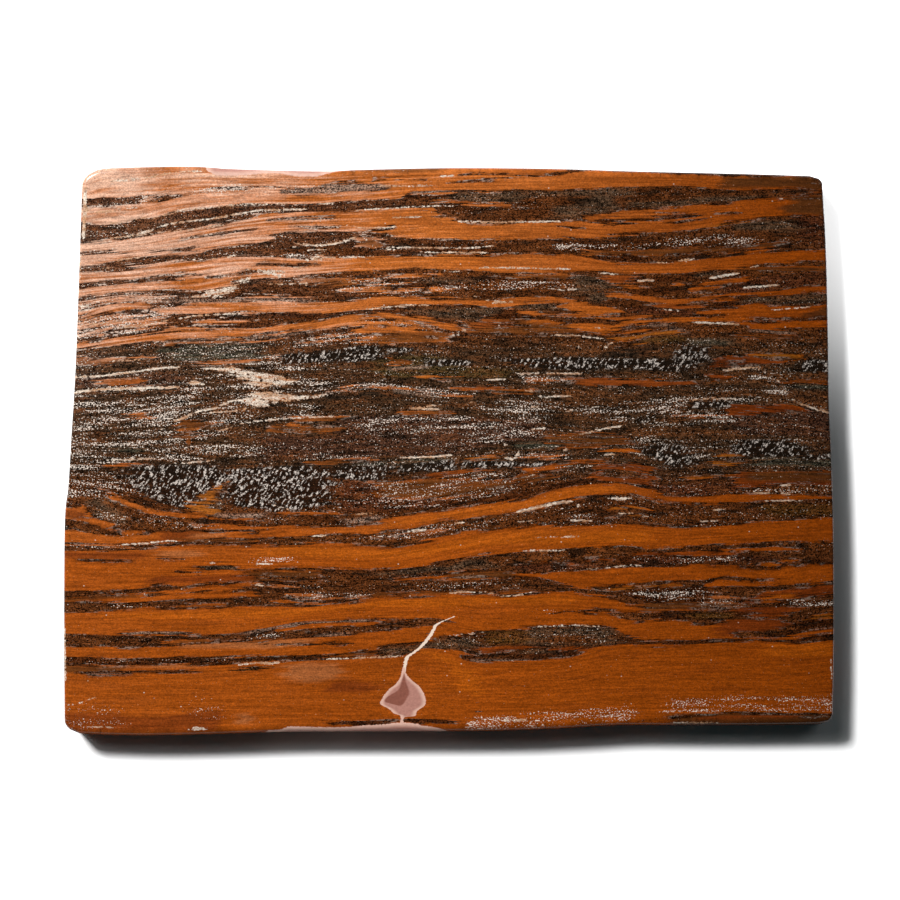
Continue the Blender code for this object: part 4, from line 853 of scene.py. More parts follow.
LATE_THREADS_AND_HIGHLIGHT = [
    # the first two are a painted highlight: the light's reflection on the eased left edge by the far corner
    (1.4, [(-144.4, 104.8), (-145.2, 84)]),
    (0.5, [(-146.1, 80), (-147.3, 62)]),
    (0.7, [(-138, 72.5), (-134, 72.8)]),
    (0.6, [(-107, 70), (-104, 70)]),
    (0.8, [(90, 75.6), (98, 76.2)]),
    (0.8, [(120, 73), (124, 74)]),
    (0.7, [(116, 64.8), (132, 66)]),
    (0.6, [(130, 99.4), (134, 100.6)]),
    (0.6, [(-10, 17.8), (-2, 18.4)]),
    (0.6, [(-70, -21.4), (-62, -23.6)]),
]

# The kinds of stone, as colours from 0 to 255. Golden ones lie in the gold layers, dark ones between them.
GOLDEN = {"gold": (154, 70, 8), "amber": (172, 82, 10), "rust": (122, 52, 12), "tan": (170, 108, 66),
          "ochre": (146, 92, 26), "bark": (96, 52, 20)}
DARK = {"iron": (54, 33, 18), "coal": (28, 18, 11), "steel": (54, 53, 42), "olive": (58, 44, 20),
        "umber": (74, 42, 20), "wine": (62, 36, 24), "ash": (136, 114, 98), "ink": (32, 19, 10)}
# What dark stone leans towards in the slab's heart, and outside it.
HEART_GREY, OUTER_RED = (84, 71, 56), (104, 44, 2)
# Kinds that lie as broken stains in what is round them, and how far inside them they count as whole.
BROKEN = {"rust": 0.5, "bark": 0.35, "ochre": 0.4}
WELL_INSIDE = 9  # as far as any other kind counts
# Kinds that let the colour under them show through, and how strong their own colour is.
FAINT = {"tan": 0.55, "ochre": 0.6}
# How thickly white specks lie in each kind of speckled layer, and in plain stone, from 0 to 1.
SPECKLED = {"speck": 0.32, "salt": 0.56, "frost": 0.7, "grit": 0.42}
NATURAL_SPECKS = {"gold": 0.08, "amber": 0.08, "tan": 0.1, "bark": 0.12, "rust": 0.04, "iron": 0.17,
                  "coal": 0.08, "steel": 0.24, "olive": 0.17, "umber": 0.18, "wine": 0.2, "ash": 0.2}
HEART_GLITTER = 0.6  # how much thicker they lie in the slab's heart
# The heights between which the glitter and the grey of the heart set in, and between which both fade.
GLITTER_START, GREY_START, HEART_END = (-40, -28), (-16, -4), (38, 50)

# From how far outside a layer to how far inside it these come in, in millimetres.
COLOUR_EDGE, DUST_EDGE, COBBLE_EDGE, SPECK_EDGE = (-0.7, 0.8), (-0.4, 0.6), (-0.3, 0.4), (-0.8, 0.8)
LEFT_END, RIGHT_END = -149, 150  # layers that reach past these run off the slab and don't close
CLOSING = 0.35  # how steeply the others close at their ends
THREAD_TIP, THREAD_TAPER = 0.45, 3  # how wide a thread's tip is beside the rest, and how long it widens
THREAD_REACH = 4  # how far round a thread points are measured
FAR_OUTSIDE = -9.0  # what points beyond that get
LONG_FRAY, SHORT_FRAY, EDGE_FRAY = 3.2, 2.2, 0.3  # how far layers stray along themselves and across


def linear(colour):
    """A colour given from 0 to 255 as it looks on a screen, as amounts of light."""
    share = np.array(colour) / 255
    return np.where(share <= 0.04045, share / 12.92, ((share + 0.055) / 1.055) ** 2.4)


def soft_step(value, low, high):
    share = np.clip((value - low) / (high - low), 0, 1)
    return share * share * (3 - 2 * share)


def smooth_course(x, knots, heights):
    """Heights at x on a smooth line through the knots that rises and falls only where they do."""
    knots, heights = np.array(knots, float), np.array(heights, float)
    steps = np.diff(knots)
    slopes = np.diff(heights) / steps
    lean = np.zeros(len(knots))
    lean[0], lean[-1] = slopes[0], slopes[-1]
    both = slopes[:-1] * slopes[1:]
    same = both > 0
    lean[1:-1][same] = 2 * both[same] / (slopes[:-1] + slopes[1:])[same]
    x = np.clip(x, knots[0], knots[-1])
    i = np.clip(np.searchsorted(knots, x, "right") - 1, 0, len(steps) - 1)
    t = (x - knots[i]) / steps[i]
    return (heights[i] * (1 + 2 * t) * (1 - t) ** 2 + lean[i] * steps[i] * t * (1 - t) ** 2
            + heights[i + 1] * t * t * (3 - 2 * t) + lean[i + 1] * steps[i] * t * t * (t - 1))


def inside_layer(x, y, layer):
    """How far each point lies inside a layer, in millimetres; below 0 outside it."""
    knots, tops, bottoms = zip(*layer)
    inside = np.minimum(smooth_course(x, knots, tops) - y, y - smooth_course(x, knots, bottoms))
    if knots[0] > LEFT_END:
        inside = np.minimum(inside, (x - knots[0]) * CLOSING)
    if knots[-1] < RIGHT_END:
        inside = np.minimum(inside, (knots[-1] - x) * CLOSING)
    return inside


def inside_thread(x, y, points, width):
    """How far each point lies inside a thread of that width that tapers at its ends."""
    inside = np.full(len(x), FAR_OUTSIDE)
    points = np.array(points, float)
    lengths = np.hypot(*np.diff(points, axis=0).T)
    before = np.concatenate(([0], np.cumsum(lengths)))
    (left, near), (right, far) = points.min(0) - THREAD_REACH, points.max(0) + THREAD_REACH
    close = (x > left) & (x < right) & (y > near) & (y < far)
    xs, ys = x[close], y[close]
    best = np.full(len(xs), FAR_OUTSIDE)
    for (ax, ay), (bx, by), length, start in zip(points[:-1], points[1:], lengths, before):
        t = np.clip(((xs - ax) * (bx - ax) + (ys - ay) * (by - ay)) / length ** 2, 0, 1)
        along = start + t * length
        to_tip = np.minimum(along, before[-1] - along)
        half = width / 2 * np.clip(THREAD_TIP + to_tip / THREAD_TAPER, 0, 1)
        best = np.maximum(best, half - np.hypot(xs - ax - t * (bx - ax), ys - ay - t * (by - ay)))
    inside[close] = best
    return inside


def patchy(x, y, seed):
    """Smooth random values from -1 to 1 that change over about one unit of x and of y."""
    size = 512
    values = np.random.default_rng(seed).uniform(-1, 1, (size, size))
    i, j = np.floor(x).astype(int), np.floor(y).astype(int)
    u, v = soft_step(x - i, 0, 1), soft_step(y - j, 0, 1)
    i, j, far_i, far_j = i % size, j % size, (i + 1) % size, (j + 1) % size
    return ((values[i, j] * (1 - u) + values[far_i, j] * u) * (1 - v)
            + (values[i, far_j] * (1 - u) + values[far_i, far_j] * u) * v)


def stain(tints, colour, share):
    """Moves a list of colours towards one colour, each by its own share."""
    tints += (linear(colour) - tints) * share[:, None]


class Stone:
    """What the slab is made of at each of a set of points."""

    def __init__(self, count):
        self.gold = np.full(count, -1.5)  # how far inside gold, in millimetres; below 0 in dark stone
        self.gold_tint = np.tile(linear(GOLDEN["gold"]), (count, 1))
        self.dark_tint = np.tile(linear(DARK["iron"]), (count, 1))
        self.specks = np.full(count, NATURAL_SPECKS["iron"])
        self.cobbles = np.zeros(count)
        # pale also holds the painted highlight on the left edge by the far corner
        self.pale = np.full(count, -3.0)  # how far inside pale quartz

    def lay(self, kind, inside):
        """Puts a kind of stone where inside is above 0."""
        share = soft_step(inside, *COLOUR_EDGE)
        if kind == "chalk":
            self.lay_chalk(inside, share)
            return
        if kind == "dust":
            self.lay_dust(inside, share)
            return
        if kind in GOLDEN:
            self.gold = np.maximum(self.gold, np.minimum(inside, BROKEN.get(kind, WELL_INSIDE)))
            stain(self.gold_tint, GOLDEN[kind], share * FAINT.get(kind, 1))
        elif kind in DARK:
            self.gold = np.minimum(self.gold, -inside)
            stain(self.dark_tint, DARK[kind], share)
        elif kind == "cobble":
            self.gold = np.minimum(self.gold, -inside)
            stain(self.dark_tint, DARK["coal"], share)
            self.cobbles = np.maximum(self.cobbles, soft_step(inside, *COBBLE_EDGE))
        if kind in SPECKLED:
            self.specks = np.maximum(self.specks, SPECKLED[kind] * soft_step(inside, *SPECK_EDGE))
        else:
            self.specks += (NATURAL_SPECKS.get(kind, 0) - self.specks) * share

    def lay_chalk(self, inside, share):
        """A patch of pale quartz that is never quite whole, with brown stone showing through."""
        self.pale = np.maximum(self.pale, np.minimum(0.5 * inside, 0.2))
        stain(self.dark_tint, GOLDEN["bark"], share)
        self.gold -= self.gold * share

    def lay_dust(self, inside, share):
        """Gold and dark stone broken up into each other."""
        self.gold += (0.1 - self.gold) * soft_step(inside, *DUST_EDGE)
        stain(self.gold_tint, GOLDEN["tan"], share * 0.35)
        self.specks += (0.4 - self.specks) * share


def stone_at(x, y, flow):
    """The stone at each point; flow is the height, in the middle of the slab, of the row it belongs to."""
    frayed_x = x + LONG_FRAY * patchy(x / 9, flow / 0.62, 1) + SHORT_FRAY * patchy(x / 5, flow / 1.9, 2)
    frayed_y = y + EDGE_FRAY * patchy(x / 8, flow / 1.3, 3)
    stone = Stone(len(x))
    for kind, layer in [*FAR_LAYERS, *MIDDLE_LAYERS, *NEAR_LAYERS, *FOOT_LAYERS, *LATE_LAYERS]:
        stone.lay(kind, inside_layer(frayed_x, frayed_y, layer))
    for layer in COBBLES:
        stone.lay("cobble", inside_layer(frayed_x, frayed_y, layer))
    for width, points in ASH_THREADS:
        stone.lay("ash", inside_thread(x, y, points, width + 0.1))
    for width, points in INK_THREADS:
        stone.lay("ink", inside_thread(x, y, points, width + 0.2))
    # the late threads hold a painted highlight as well as quartz
    for width, points in [*PALE_THREADS, *LATE_THREADS_AND_HIGHLIGHT]:
        stone.pale = np.maximum(stone.pale, inside_thread(x, y, points, width + 0.1))

    # the heart glitters most, and its dark stone is greyer there and redder elsewhere
    fade = 1 - soft_step(y, *HEART_END)
    glitter = 1 + HEART_GLITTER * soft_step(y, *GLITTER_START) * fade
    most = 0.5
    stone.specks = np.where(stone.specks < most, np.minimum(stone.specks * glitter, most), stone.specks)
    heart = soft_step(y, *GREY_START) * fade
    stain(stone.dark_tint, HEART_GREY, 0.08 * heart)
    stain(stone.dark_tint, OUTER_RED, 0.24 * (1 - heart))
    return stone


def smooth_side(points, step=0.5):
    """Points about step apart on the smooth curve that passes through every given point."""
    points = np.array(points, float)
    ends = np.vstack((2 * points[0] - points[1], points, 2 * points[-1] - points[-2]))
    curve = []
    for before, start, end, after in zip(ends, ends[1:], ends[2:], ends[3:]):
        count = max(1, round(math.dist(start, end) / step))
        t = np.arange(count)[:, None] / count
        curve.append(0.5 * (2 * start + (end - before) * t
                            + (2 * before - 5 * start + 4 * end - after) * t ** 2
                            + (3 * start - before - 3 * end + after) * t ** 3))
    return np.vstack((*curve, points[-1]))


def corner_arc(a, a_way, b, b_way, steps=24):
    """Points strictly between a and b on the rounded corner that leaves a along a_way."""
    cross = a_way[0] * b_way[1] - a_way[1] * b_way[0]
    tip = a + a_way * ((b[0] - a[0]) * b_way[1] - (b[1] - a[1]) * b_way[0]) / cross
    weight = math.cos(math.acos(float(a_way @ b_way)) / 2)
    t = np.arange(1, steps)[:, None] / steps
    shares = (1 - t) ** 2, 2 * t * (1 - t) * weight, t ** 2
    return (a * shares[0] + tip * shares[1] + b * shares[2]) / sum(shares)


def slab_outline():
    """The outline clockwise from above, the ease along it, and where its corners' middles are."""
    curves = [(ease, smooth_side(side)) for ease, side in SIDES]
    points, eases, middles = [], [], []
    for i, (ease, curve) in enumerate(curves):
        next_ease, follower = curves[(i + 1) % len(curves)]
        leaving, arriving = curve[-1] - curve[-2], follower[1] - follower[0]
        leaving, arriving = leaving / np.hypot(*leaving), arriving / np.hypot(*arriving)
        arc = corner_arc(curve[-1], leaving, follower[0], arriving)
        points += [curve, arc]
        eases += [np.full(len(curve), ease), np.linspace(ease, next_ease, len(arc) + 2)[1:-1]]
        middles.append(sum(map(len, points)) - len(arc) // 2 - 1)
    points = np.vstack(points)
    return points - (points.min(0) + points.max(0)) / 2, np.concatenate(eases), middles


class Rim:
    """The slab's outline as one closed line, clockwise from the middle of its near left corner."""

    def __init__(self):
        outline, eases, middles = slab_outline()
        start = middles[3]
        self.count = len(outline)
        self.turns = [(m - start) % self.count for m in middles[:3]]
        line = np.roll(outline, -start, axis=0)
        self.line = np.vstack((line, line[0]))
        self.eases = np.append(np.roll(eases, -start), eases[start])
        ahead = np.roll(line, -1, axis=0) - np.roll(line, 1, axis=0)
        inward = np.column_stack((ahead[:, 1], -ahead[:, 0])) / np.hypot(*ahead.T)[:, None]
        self.inward = np.vstack((inward, inward[0]))
        self.face = self.at(np.arange(self.count + 1), WALL_BOW + self.eases)

    def at(self, place, inset):
        """Points that far in from the outline, at places counted along it."""
        whole = np.arange(self.count + 1)
        return np.column_stack([
            np.interp(place, whole, self.line[:, k]) + np.interp(place, whole, self.inward[:, k]) * inset
            for k in (0, 1)])

    def ease_at(self, place):
        return np.interp(place, np.arange(self.count + 1), self.eases)

    def face_x(self, place):
        """The x of the face's rim at one place."""
        return self.at([place], self.ease_at([place]) + WALL_BOW)[0, 0]

    def place_of(self, value, axis, first, last):
        """The place between first and last where the face's rim has that x (axis 0) or y (axis 1)."""
        part = np.arange(first, last + 1)
        values = self.face[first:last + 1, axis]
        if values[-1] < values[0]:
            part, values = part[::-1], values[::-1]
        return np.interp(value, values, part)


def face_rows(rim):
    """For each row of the face's mesh, the run it lies above and how far along it is to the next one."""
    rows = [(0, 0.0)]
    for k, spacing in enumerate(ROW_SPACINGS):
        gap = np.mean([run(rim, k + 1, x) - run(rim, k, x) for x in (-120, -60, 0, 60, 120)])
        count = max(2, 2 * round(gap / spacing / 2))
        rows += [(k, i / count) for i in range(1, count + 1)]
    return rows


def run(rim, k, x):
    """The height at x of the k-th run; the first is the face's near rim and the last its far rim."""
    far_left, far_right, near_right = rim.turns
    if k == 0:
        return np.interp(x, rim.face[near_right:, 0][::-1], rim.face[near_right:, 1][::-1])
    if k == len(RUNS) + 1:
        return np.interp(x, rim.face[far_left:far_right + 1, 0], rim.face[far_left:far_right + 1, 1])
    return smooth_course(x, RUN_X, RUNS[k - 1])


def face_grid(rim):
    """Points of the face in rows that follow the layers, and the places along the rim of their ends."""
    far_left, far_right, near_right = rim.turns
    across = np.linspace(0, 1, COLUMNS + 1)
    rows, left_places, right_places = [], [], []
    for k, share in face_rows(rim):
        def height(x):
            return run(rim, k, x) * (1 - share) + run(rim, k + 1, x) * share
        # a row's height where it meets the rim depends on where that is, so the two are found in rounds
        left, right = -ROUGH_HALF_LENGTH, ROUGH_HALF_LENGTH
        for _ in range(MEETING_ROUNDS):
            left_place = rim.place_of(height(left), 1, 0, far_left)
            right_place = rim.place_of(height(right), 1, far_right, near_right)
            left, right = rim.face_x(left_place), rim.face_x(right_place)
        x = left + (right - left) * across
        rows.append(np.column_stack((x, height(x))))
        left_places.append(left_place)
        right_places.append(right_place)
    grid = np.array(rows)
    near_places = rim.place_of(grid[0, :, 0], 0, near_right, rim.count)
    far_places = rim.place_of(grid[-1, :, 0], 0, far_left, far_right)
    # clockwise round the face, each side without its last point, which begins the next side
    places = np.concatenate((left_places[:-1], far_places[:-1], right_places[:0:-1], near_places[:0:-1]))
    return grid, places


def around_face(rows, columns):
    """The spots on the boundary of a grid, clockwise from its near left corner."""
    left = [(i, 0) for i in range(rows)]
    far = [(rows, j) for j in range(columns)]
    right = [(i, columns) for i in range(rows, 0, -1)]
    near = [(0, j) for j in range(columns, 0, -1)]
    return left + far + right + near


def edge_section(ease):
    """The section of the edge from face to back, as (distance in from the outline, height)."""
    head = THICKNESS - ease
    rounded = [(WALL_BOW + ease * (1 - math.cos(turn)), head + ease * math.sin(turn))
               for turn in np.linspace(math.pi / 2, 0, EASE_STEPS + 1)[1:]]
    wall = [(SKIN, (BACK_ARRIS + head) / 2), (WALL_BOW, BACK_ARRIS), (WALL_BOW + BACK_ARRIS, 0.0)]
    return rounded + wall


def spread_over(grid, moves):
    """Moves that are known on the four sides of a grid, carried smoothly over all of it."""
    near, far, left, right = moves[0], moves[-1], moves[:, 0], moves[:, -1]
    up = (grid[:, 0, 1] - grid[0, 0, 1]) / (grid[-1, 0, 1] - grid[0, 0, 1])
    u, v = up[:, None, None], np.linspace(0, 1, grid.shape[1])[None, :, None]
    sides = (1 - v) * left[:, None] + v * right[:, None] + (1 - u) * near[None] + u * far[None]
    corners = ((1 - u) * (1 - v) * near[0] + (1 - u) * v * near[-1]
               + u * (1 - v) * far[0] + u * v * far[-1])
    return sides - corners


class Surface:
    """The slab's points and faces, and the point of its face that each point lies under."""

    def __init__(self):
        self.points, self.sources, self.faces = [], [], []
        self.count = 0

    def add(self, flat, height, sources):
        """Adds points at that height and returns their numbers."""
        self.points.append(np.column_stack((flat, np.broadcast_to(height, len(flat)))))
        self.sources.append(sources)
        self.count += len(flat)
        return np.arange(self.count - len(flat), self.count)


def build_face(surface, grid):
    rows, columns = grid.shape[0] - 1, grid.shape[1] - 1
    flat = grid.reshape(-1, 2)
    number = surface.add(flat, THICKNESS, np.arange(len(flat))).reshape(rows + 1, columns + 1)
    surface.faces += [(number[i, j], number[i, j + 1], number[i + 1, j + 1], number[i + 1, j])
                      for i in range(rows) for j in range(columns)]
    return number


def build_edge(surface, rim, places, on_rim):
    """The eased edge, the wall and the arris of the back; returns the points of its lowest ring."""
    upper = on_rim
    for inset, height in edge_section(rim.ease_at(places)):
        lower = surface.add(rim.at(places, inset), height, on_rim)
        following = zip(upper, np.roll(upper, -1), np.roll(lower, -1), lower)
        surface.faces += [tuple(corners) for corners in following]
        upper = lower
    return lower


def build_back(surface, grid, number, around, lowest):
    """The back: every second row and column of the face, moved out to the lowest ring of the edge."""
    rows, columns = grid.shape[0] - 1, grid.shape[1] - 1
    moves = np.zeros(grid.shape)
    for spot, moved in zip(around, surface.points[-1][:, :2]):
        moves[spot] = moved - grid[spot]
    under = np.full_like(number, -1)
    for spot, vertex in zip(around, lowest):
        under[spot] = vertex
    middle = tuple(np.array([(i, j) for i in range(2, rows, 2) for j in range(2, columns, 2)]).T)
    under[middle] = surface.add((grid + spread_over(grid, moves))[middle], 0.0, number[middle])
    for i in range(0, rows, 2):
        for j in range(0, columns, 2):
            loop = [(i, j), (i + 1, j) if j == 0 else None,
                    (i + 2, j), (i + 2, j + 1) if i + 2 == rows else None,
                    (i + 2, j + 2), (i + 1, j + 2) if j + 2 == columns else None,
                    (i, j + 2), (i, j + 1) if i == 0 else None]
            surface.faces.append(tuple(under[spot] for spot in loop if spot))


def inside_filling(x, y):
    """How far each point lies inside the filling of the slab's near and far edges."""
    inside = []
    for strip, way in ((NEAR_STRIP, -1), (FAR_STRIP, 1)):
        knots, line = zip(*strip)
        depth = (y - smooth_course(x, knots, line)) * way
        inside.append(np.minimum(depth, np.minimum(x - knots[0], knots[-1] - x) * 0.6))
    return np.maximum(*inside)


def slab_object(points, faces, amounts, tints):
    """The slab as an object whose vertices carry amounts and tints for the material."""
    mesh = bpy.data.meshes.new("slab_stone")
    mesh.from_pydata((points * MM).tolist(), [], [[int(v) for v in face] for face in faces])
    for name, values in amounts.items():
        mesh.attributes.new(name, "FLOAT", "POINT").data.foreach_set("value", values.astype(np.float32))
    for name, values in tints.items():
        colours = np.column_stack((values, np.ones(len(values)))).astype(np.float32)
        mesh.attributes.new(name, "FLOAT_COLOR", "POINT").data.foreach_set("color", colours.ravel())
    mesh.shade_smooth()
    mesh.set_sharp_from_angle(angle=math.radians(40))
    slab = bpy.data.objects.new("tiger_iron_slab", mesh)
    bpy.context.scene.collection.objects.link(slab)
    return slab


def build_slab():
    """The slab's closed mesh, with what its stone is at each vertex."""
    rim = Rim()
    grid, places = face_grid(rim)
    around = around_face(grid.shape[0] - 1, COLUMNS)
    surface = Surface()
    number = build_face(surface, grid)
    lowest = build_edge(surface, rim, places, np.array([number[spot] for spot in around]))
    build_back(surface, grid, number, around, lowest)

    points, sources = np.vstack(surface.points), np.concatenate(surface.sources)
    depth = THICKNESS - points[:, 2]
    points[:, 2] = np.clip(points[:, 2], SKIN, THICKNESS - SKIN)
    x, y = points[:, 0], points[:, 1]
    wander = LAYER_WANDER * (np.sin(x / 31 + y / 47) + 0.6 * np.sin(x / 13 - y / 19))
    y = y + depth / THICKNESS * wander
    flow = np.repeat(grid[:, COLUMNS // 2, 1], COLUMNS + 1)[sources]
    stone = stone_at(x, y, flow)
    amounts = {"gold": stone.gold, "pale": stone.pale, "specks": stone.specks, "cobbles": stone.cobbles,
               "flow": flow, "filler": inside_filling(x, y)}
    tints = {"gold_tint": stone.gold_tint, "dark_tint": stone.dark_tint}
    return slab_object(points, surface.faces, amounts, tints)


class Recipe:
    """Writes a material's nodes as one would write a sum."""

    def __init__(self, name):
        self.material = bpy.data.materials.new(name)
        self.material.use_nodes = True
        self.tree = self.material.node_tree
        self.shader = self.tree.nodes["Principled BSDF"]

    def node(self, kind, *inputs, out=0, **settings):
        node = self.tree.nodes.new("ShaderNode" + kind)
        for key, value in settings.items():
            setattr(node, key, value)
        for slot, value in enumerate(inputs):
            self.feed(node.inputs[slot], value)
        return node.outputs[out]

    def feed(self, socket, value):
        if isinstance(value, bpy.types.NodeSocket):
            self.tree.links.new(value, socket)
        elif value is not None:
            socket.default_value = value

    def add(self, *values):
        total = values[0]
        for value in values[1:]:
            total = self.node("Math", total, value, operation="ADD")
        return total

    def minus(self, first, second):
        return self.node("Math", first, second, operation="SUBTRACT")

    def times(self, first, second):
        return self.node("Math", first, second, operation="MULTIPLY")

    def least(self, first, second):
        return self.node("Math", first, second, operation="MINIMUM")

    def step(self, value, low, high, start=0.0, end=1.0):
        """A soft step from start, where value is low, to end, where it is high."""
        return self.node("MapRange", value, low, high, start, end, interpolation_type="SMOOTHSTEP")

    def ramp(self, value, low, high, start=0.0, end=1.0):
        return self.node("MapRange", value, low, high, start, end)

    def blend(self, share, first, second):
        node = self.tree.nodes.new("ShaderNodeMix")
        node.data_type = "RGBA"
        for slot, value in ((0, share), (6, first), (7, second)):
            self.feed(node.inputs[slot], value)
        return node.outputs[2]

    def shade(self, colour, light):
        """A colour made lighter or darker."""
        return self.node("VectorMath", colour, None, None, light, operation="SCALE")

    def stretch(self, vector, amounts):
        return self.node("VectorMath", vector, amounts, operation="MULTIPLY")

    def amount(self, name):
        """A number that the mesh carries at each vertex."""
        return self.node("Attribute", attribute_name=name, out=2)

    def tint(self, name):
        """A colour that the mesh carries at each vertex."""
        return self.node("Attribute", attribute_name=name)

    def noise(self, vector, stretch, detail, rough):
        """Cloudy grey around 0.5 with so many features to a millimetre along x, y and z."""
        node = self.tree.nodes.new("ShaderNodeTexNoise")
        self.feed(node.inputs["Vector"], self.stretch(vector, stretch))
        node.inputs["Scale"].default_value = 1.0
        node.inputs["Detail"].default_value = detail
        node.inputs["Roughness"].default_value = rough
        return node.outputs[0]

    def course(self, value, points):
        """A smooth line through points (value, result), in millimetres."""
        points = sorted(points)
        low, high = points[0][0], points[-1][0]
        results = [result for _, result in points]
        bottom, top = min(results), max(results)
        node = self.tree.nodes.new("ShaderNodeFloatCurve")
        curve = node.mapping.curves[0]
        while len(curve.points) < len(points):
            curve.points.new(0.5, 0.5)
        for point, (v, result) in zip(curve.points, points):
            point.location = (v - low) / (high - low), (result - bottom) / (top - bottom)
        node.mapping.update()
        self.feed(node.inputs["Value"], self.ramp(value, low, high))
        return self.ramp(node.outputs[0], 0.0, 1.0, bottom, top)


def paint(colour):
    """A colour from 0 to 255 as paint for this lighting."""
    return (*(linear(colour) / LIGHT_ON_FACE), 1.0)


class StoneRecipe(Recipe):
    """The recipe of the slab's stone, with the places and the noises that its parts share."""

    def __init__(self):
        super().__init__("tiger_iron")
        self.millimetres = self.stretch(self.node("TexCoord", out=3), (1000, 1000, 1000))
        split = self.tree.nodes.new("ShaderNodeSeparateXYZ")
        self.feed(split.inputs[0], self.millimetres)
        self.x, self.y, self.z = split.outputs
        self.along = self.node("CombineXYZ", self.x, self.amount("flow"), self.z)

        # long noises lie along the layers, the others are grain of one kind or another
        self.ragged = self.noise(self.along, (0.14, 1.0, 0.14), 4.0, 0.65)
        self.streaks = self.noise(self.along, (0.04, 1.3, 0.04), 3.0, 0.6)
        self.fine_streaks = self.noise(self.along, (0.2, 2.4, 0.2), 2.0, 0.6)
        self.clouds = self.noise(self.along, (0.04, 0.25, 0.04), 3.0, 0.5)
        self.patches = self.noise(self.along, (0.09, 0.5, 0.09), 4.0, 0.6)
        self.grain = self.noise(self.millimetres, (1.2, 1.5, 1.2), 1.0, 0.6)
        self.fine_grain = self.noise(self.millimetres, (1.8, 2.2, 1.8), 1.0, 0.6)
        self.crumbs = self.noise(self.millimetres, (0.5, 0.8, 0.5), 2.0, 0.6)
        self.mixed = self.add(self.times(self.grain, 0.62), self.times(self.crumbs, 0.38))

        # how far inside gold each point lies, once the edges between the layers are ragged
        self.gold_in = self.add(self.amount("gold"), self.ramp(self.ragged, 0.0, 1.0, -1.4, 1.4),
                                self.ramp(self.streaks, 0.0, 1.0, -1.8, 1.8),
                                self.ramp(self.grain, 0.0, 1.0, -0.4, 0.4))

        # a painted sheen that grows towards the far left and is weaker on the walls
        across = self.ramp(self.x, -150.0, 130.0, 0.98, 0.0)
        upward = self.ramp(self.y, -45.0, 85.0, 0.08, 1.0)
        painted_sheen = self.times(self.times(across, upward), self.ramp(self.z, 8.0, 17.0, 0.55, 1.0))
        uneven = self.add(self.ramp(self.streaks, 0.34, 0.66, 0.68, 1.32),
                          self.ramp(self.clouds, 0.3, 0.7, -0.2, 0.2))
        self.painted_sheen = self.times(painted_sheen, uneven)

        # the fillings and the vein reach most of the way down, unevenly, but not to the back
        self.on_top = self.step(self.add(self.z, self.ramp(self.patches, 0.3, 0.7, -5.0, 5.0)), 4.0, 7.0)
        self.wobble = self.ramp(self.grain, 0.2, 0.8, -0.35, 0.35)


def gold_stone(r):
    """Gold tiger's eye and jasper, with a painted sheen that makes them paler towards the far left."""
    brightness = r.ramp(r.node("SeparateColor", r.tint("gold_tint")), 0.12, 0.3, 0.3, 1.0)
    first_painted_sheen = r.times(r.ramp(r.painted_sheen, 0.0, 0.6, 0.0, 0.85), brightness)
    full_painted_sheen = r.times(r.ramp(r.painted_sheen, 0.55, 1.0, 0.0, 0.8), brightness)
    gold = r.shade(r.tint("gold_tint"), 1 / LIGHT_ON_FACE)
    gold = r.blend(r.step(r.clouds, 0.52, 0.7, 0.0, 0.25), gold, paint(GOLDEN["rust"]))
    # painted sheen: the gold turns paler towards the far left
    gold = r.blend(first_painted_sheen, gold, paint((198, 112, 50)))
    gold = r.blend(full_painted_sheen, gold, paint((222, 180, 155)))
    gold = r.shade(gold, r.ramp(r.streaks, 0.34, 0.66, 0.78, 1.2))
    gold = r.shade(gold, r.ramp(r.fine_streaks, 0.3, 0.7, 0.8, 1.2))
    gold = r.shade(gold, r.ramp(r.fine_grain, 0.3, 0.7, 0.7, 1.3))
    gold = r.shade(gold, r.ramp(r.crumbs, 0.36, 0.64, 0.92, 1.08))
    hairline = r.minus(r.noise(r.along, (0.03, 0.5, 0.03), 3.0, 0.6), 0.5)
    hairline = r.node("Math", hairline, operation="ABSOLUTE")
    gold = r.shade(gold, r.step(hairline, 0.0, 0.01, 0.6, 1.0))
    return r.shade(gold, r.step(r.gold_in, 0.0, 0.8, 0.62, 1.0))


def dark_stone(r):
    """Iron-rich stone with brown and black patches and a strong grain, and a faint painted sheen towards the
    far left.
    """
    grain = r.add(r.times(r.fine_grain, 0.75), r.times(r.crumbs, 0.25))
    dark = r.shade(r.tint("dark_tint"), 1 / LIGHT_ON_FACE)
    dark = r.blend(r.step(r.streaks, 0.52, 0.66, 0.0, 0.5), dark, paint((88, 50, 24)))
    dark = r.blend(r.step(r.patches, 0.5, 0.64, 0.0, 0.35), dark, paint((104, 58, 28)))
    dark = r.blend(r.step(r.patches, 0.46, 0.36, 0.0, 0.8), dark, paint((26, 17, 10)))
    # painted sheen: the dark stone turns a little paler towards the far left
    dark = r.blend(r.ramp(r.painted_sheen, 0.4, 1.1, 0.0, 0.1), dark, paint((160, 128, 108)))
    dark = r.shade(dark, r.ramp(grain, 0.39, 0.61, 0.05, 2.3))
    dark = r.shade(dark, r.ramp(r.fine_streaks, 0.32, 0.68, 0.55, 1.45))
    return r.shade(dark, r.step(r.gold_in, -0.1, -0.7, 0.5, 1.0))


def pale_rims(r, colour):
    """Thin pale rims on the edges between layers, made stronger by the painted sheen towards the far left.
    """
    rim = r.times(r.step(r.gold_in, -0.45, -0.05), r.step(r.gold_in, 0.35, 0.0))
    rim = r.times(rim, r.step(r.noise(r.along, (0.12, 0.5, 0.12), 2.0, 0.6), 0.46, 0.6))
    # stronger where the painted sheen is
    rim = r.times(rim, r.ramp(r.painted_sheen, 0.2, 0.7, 0.3, 1.0))
    return r.blend(r.times(rim, r.ramp(r.grain, 0.42, 0.54)), colour, paint((216, 190, 172)))


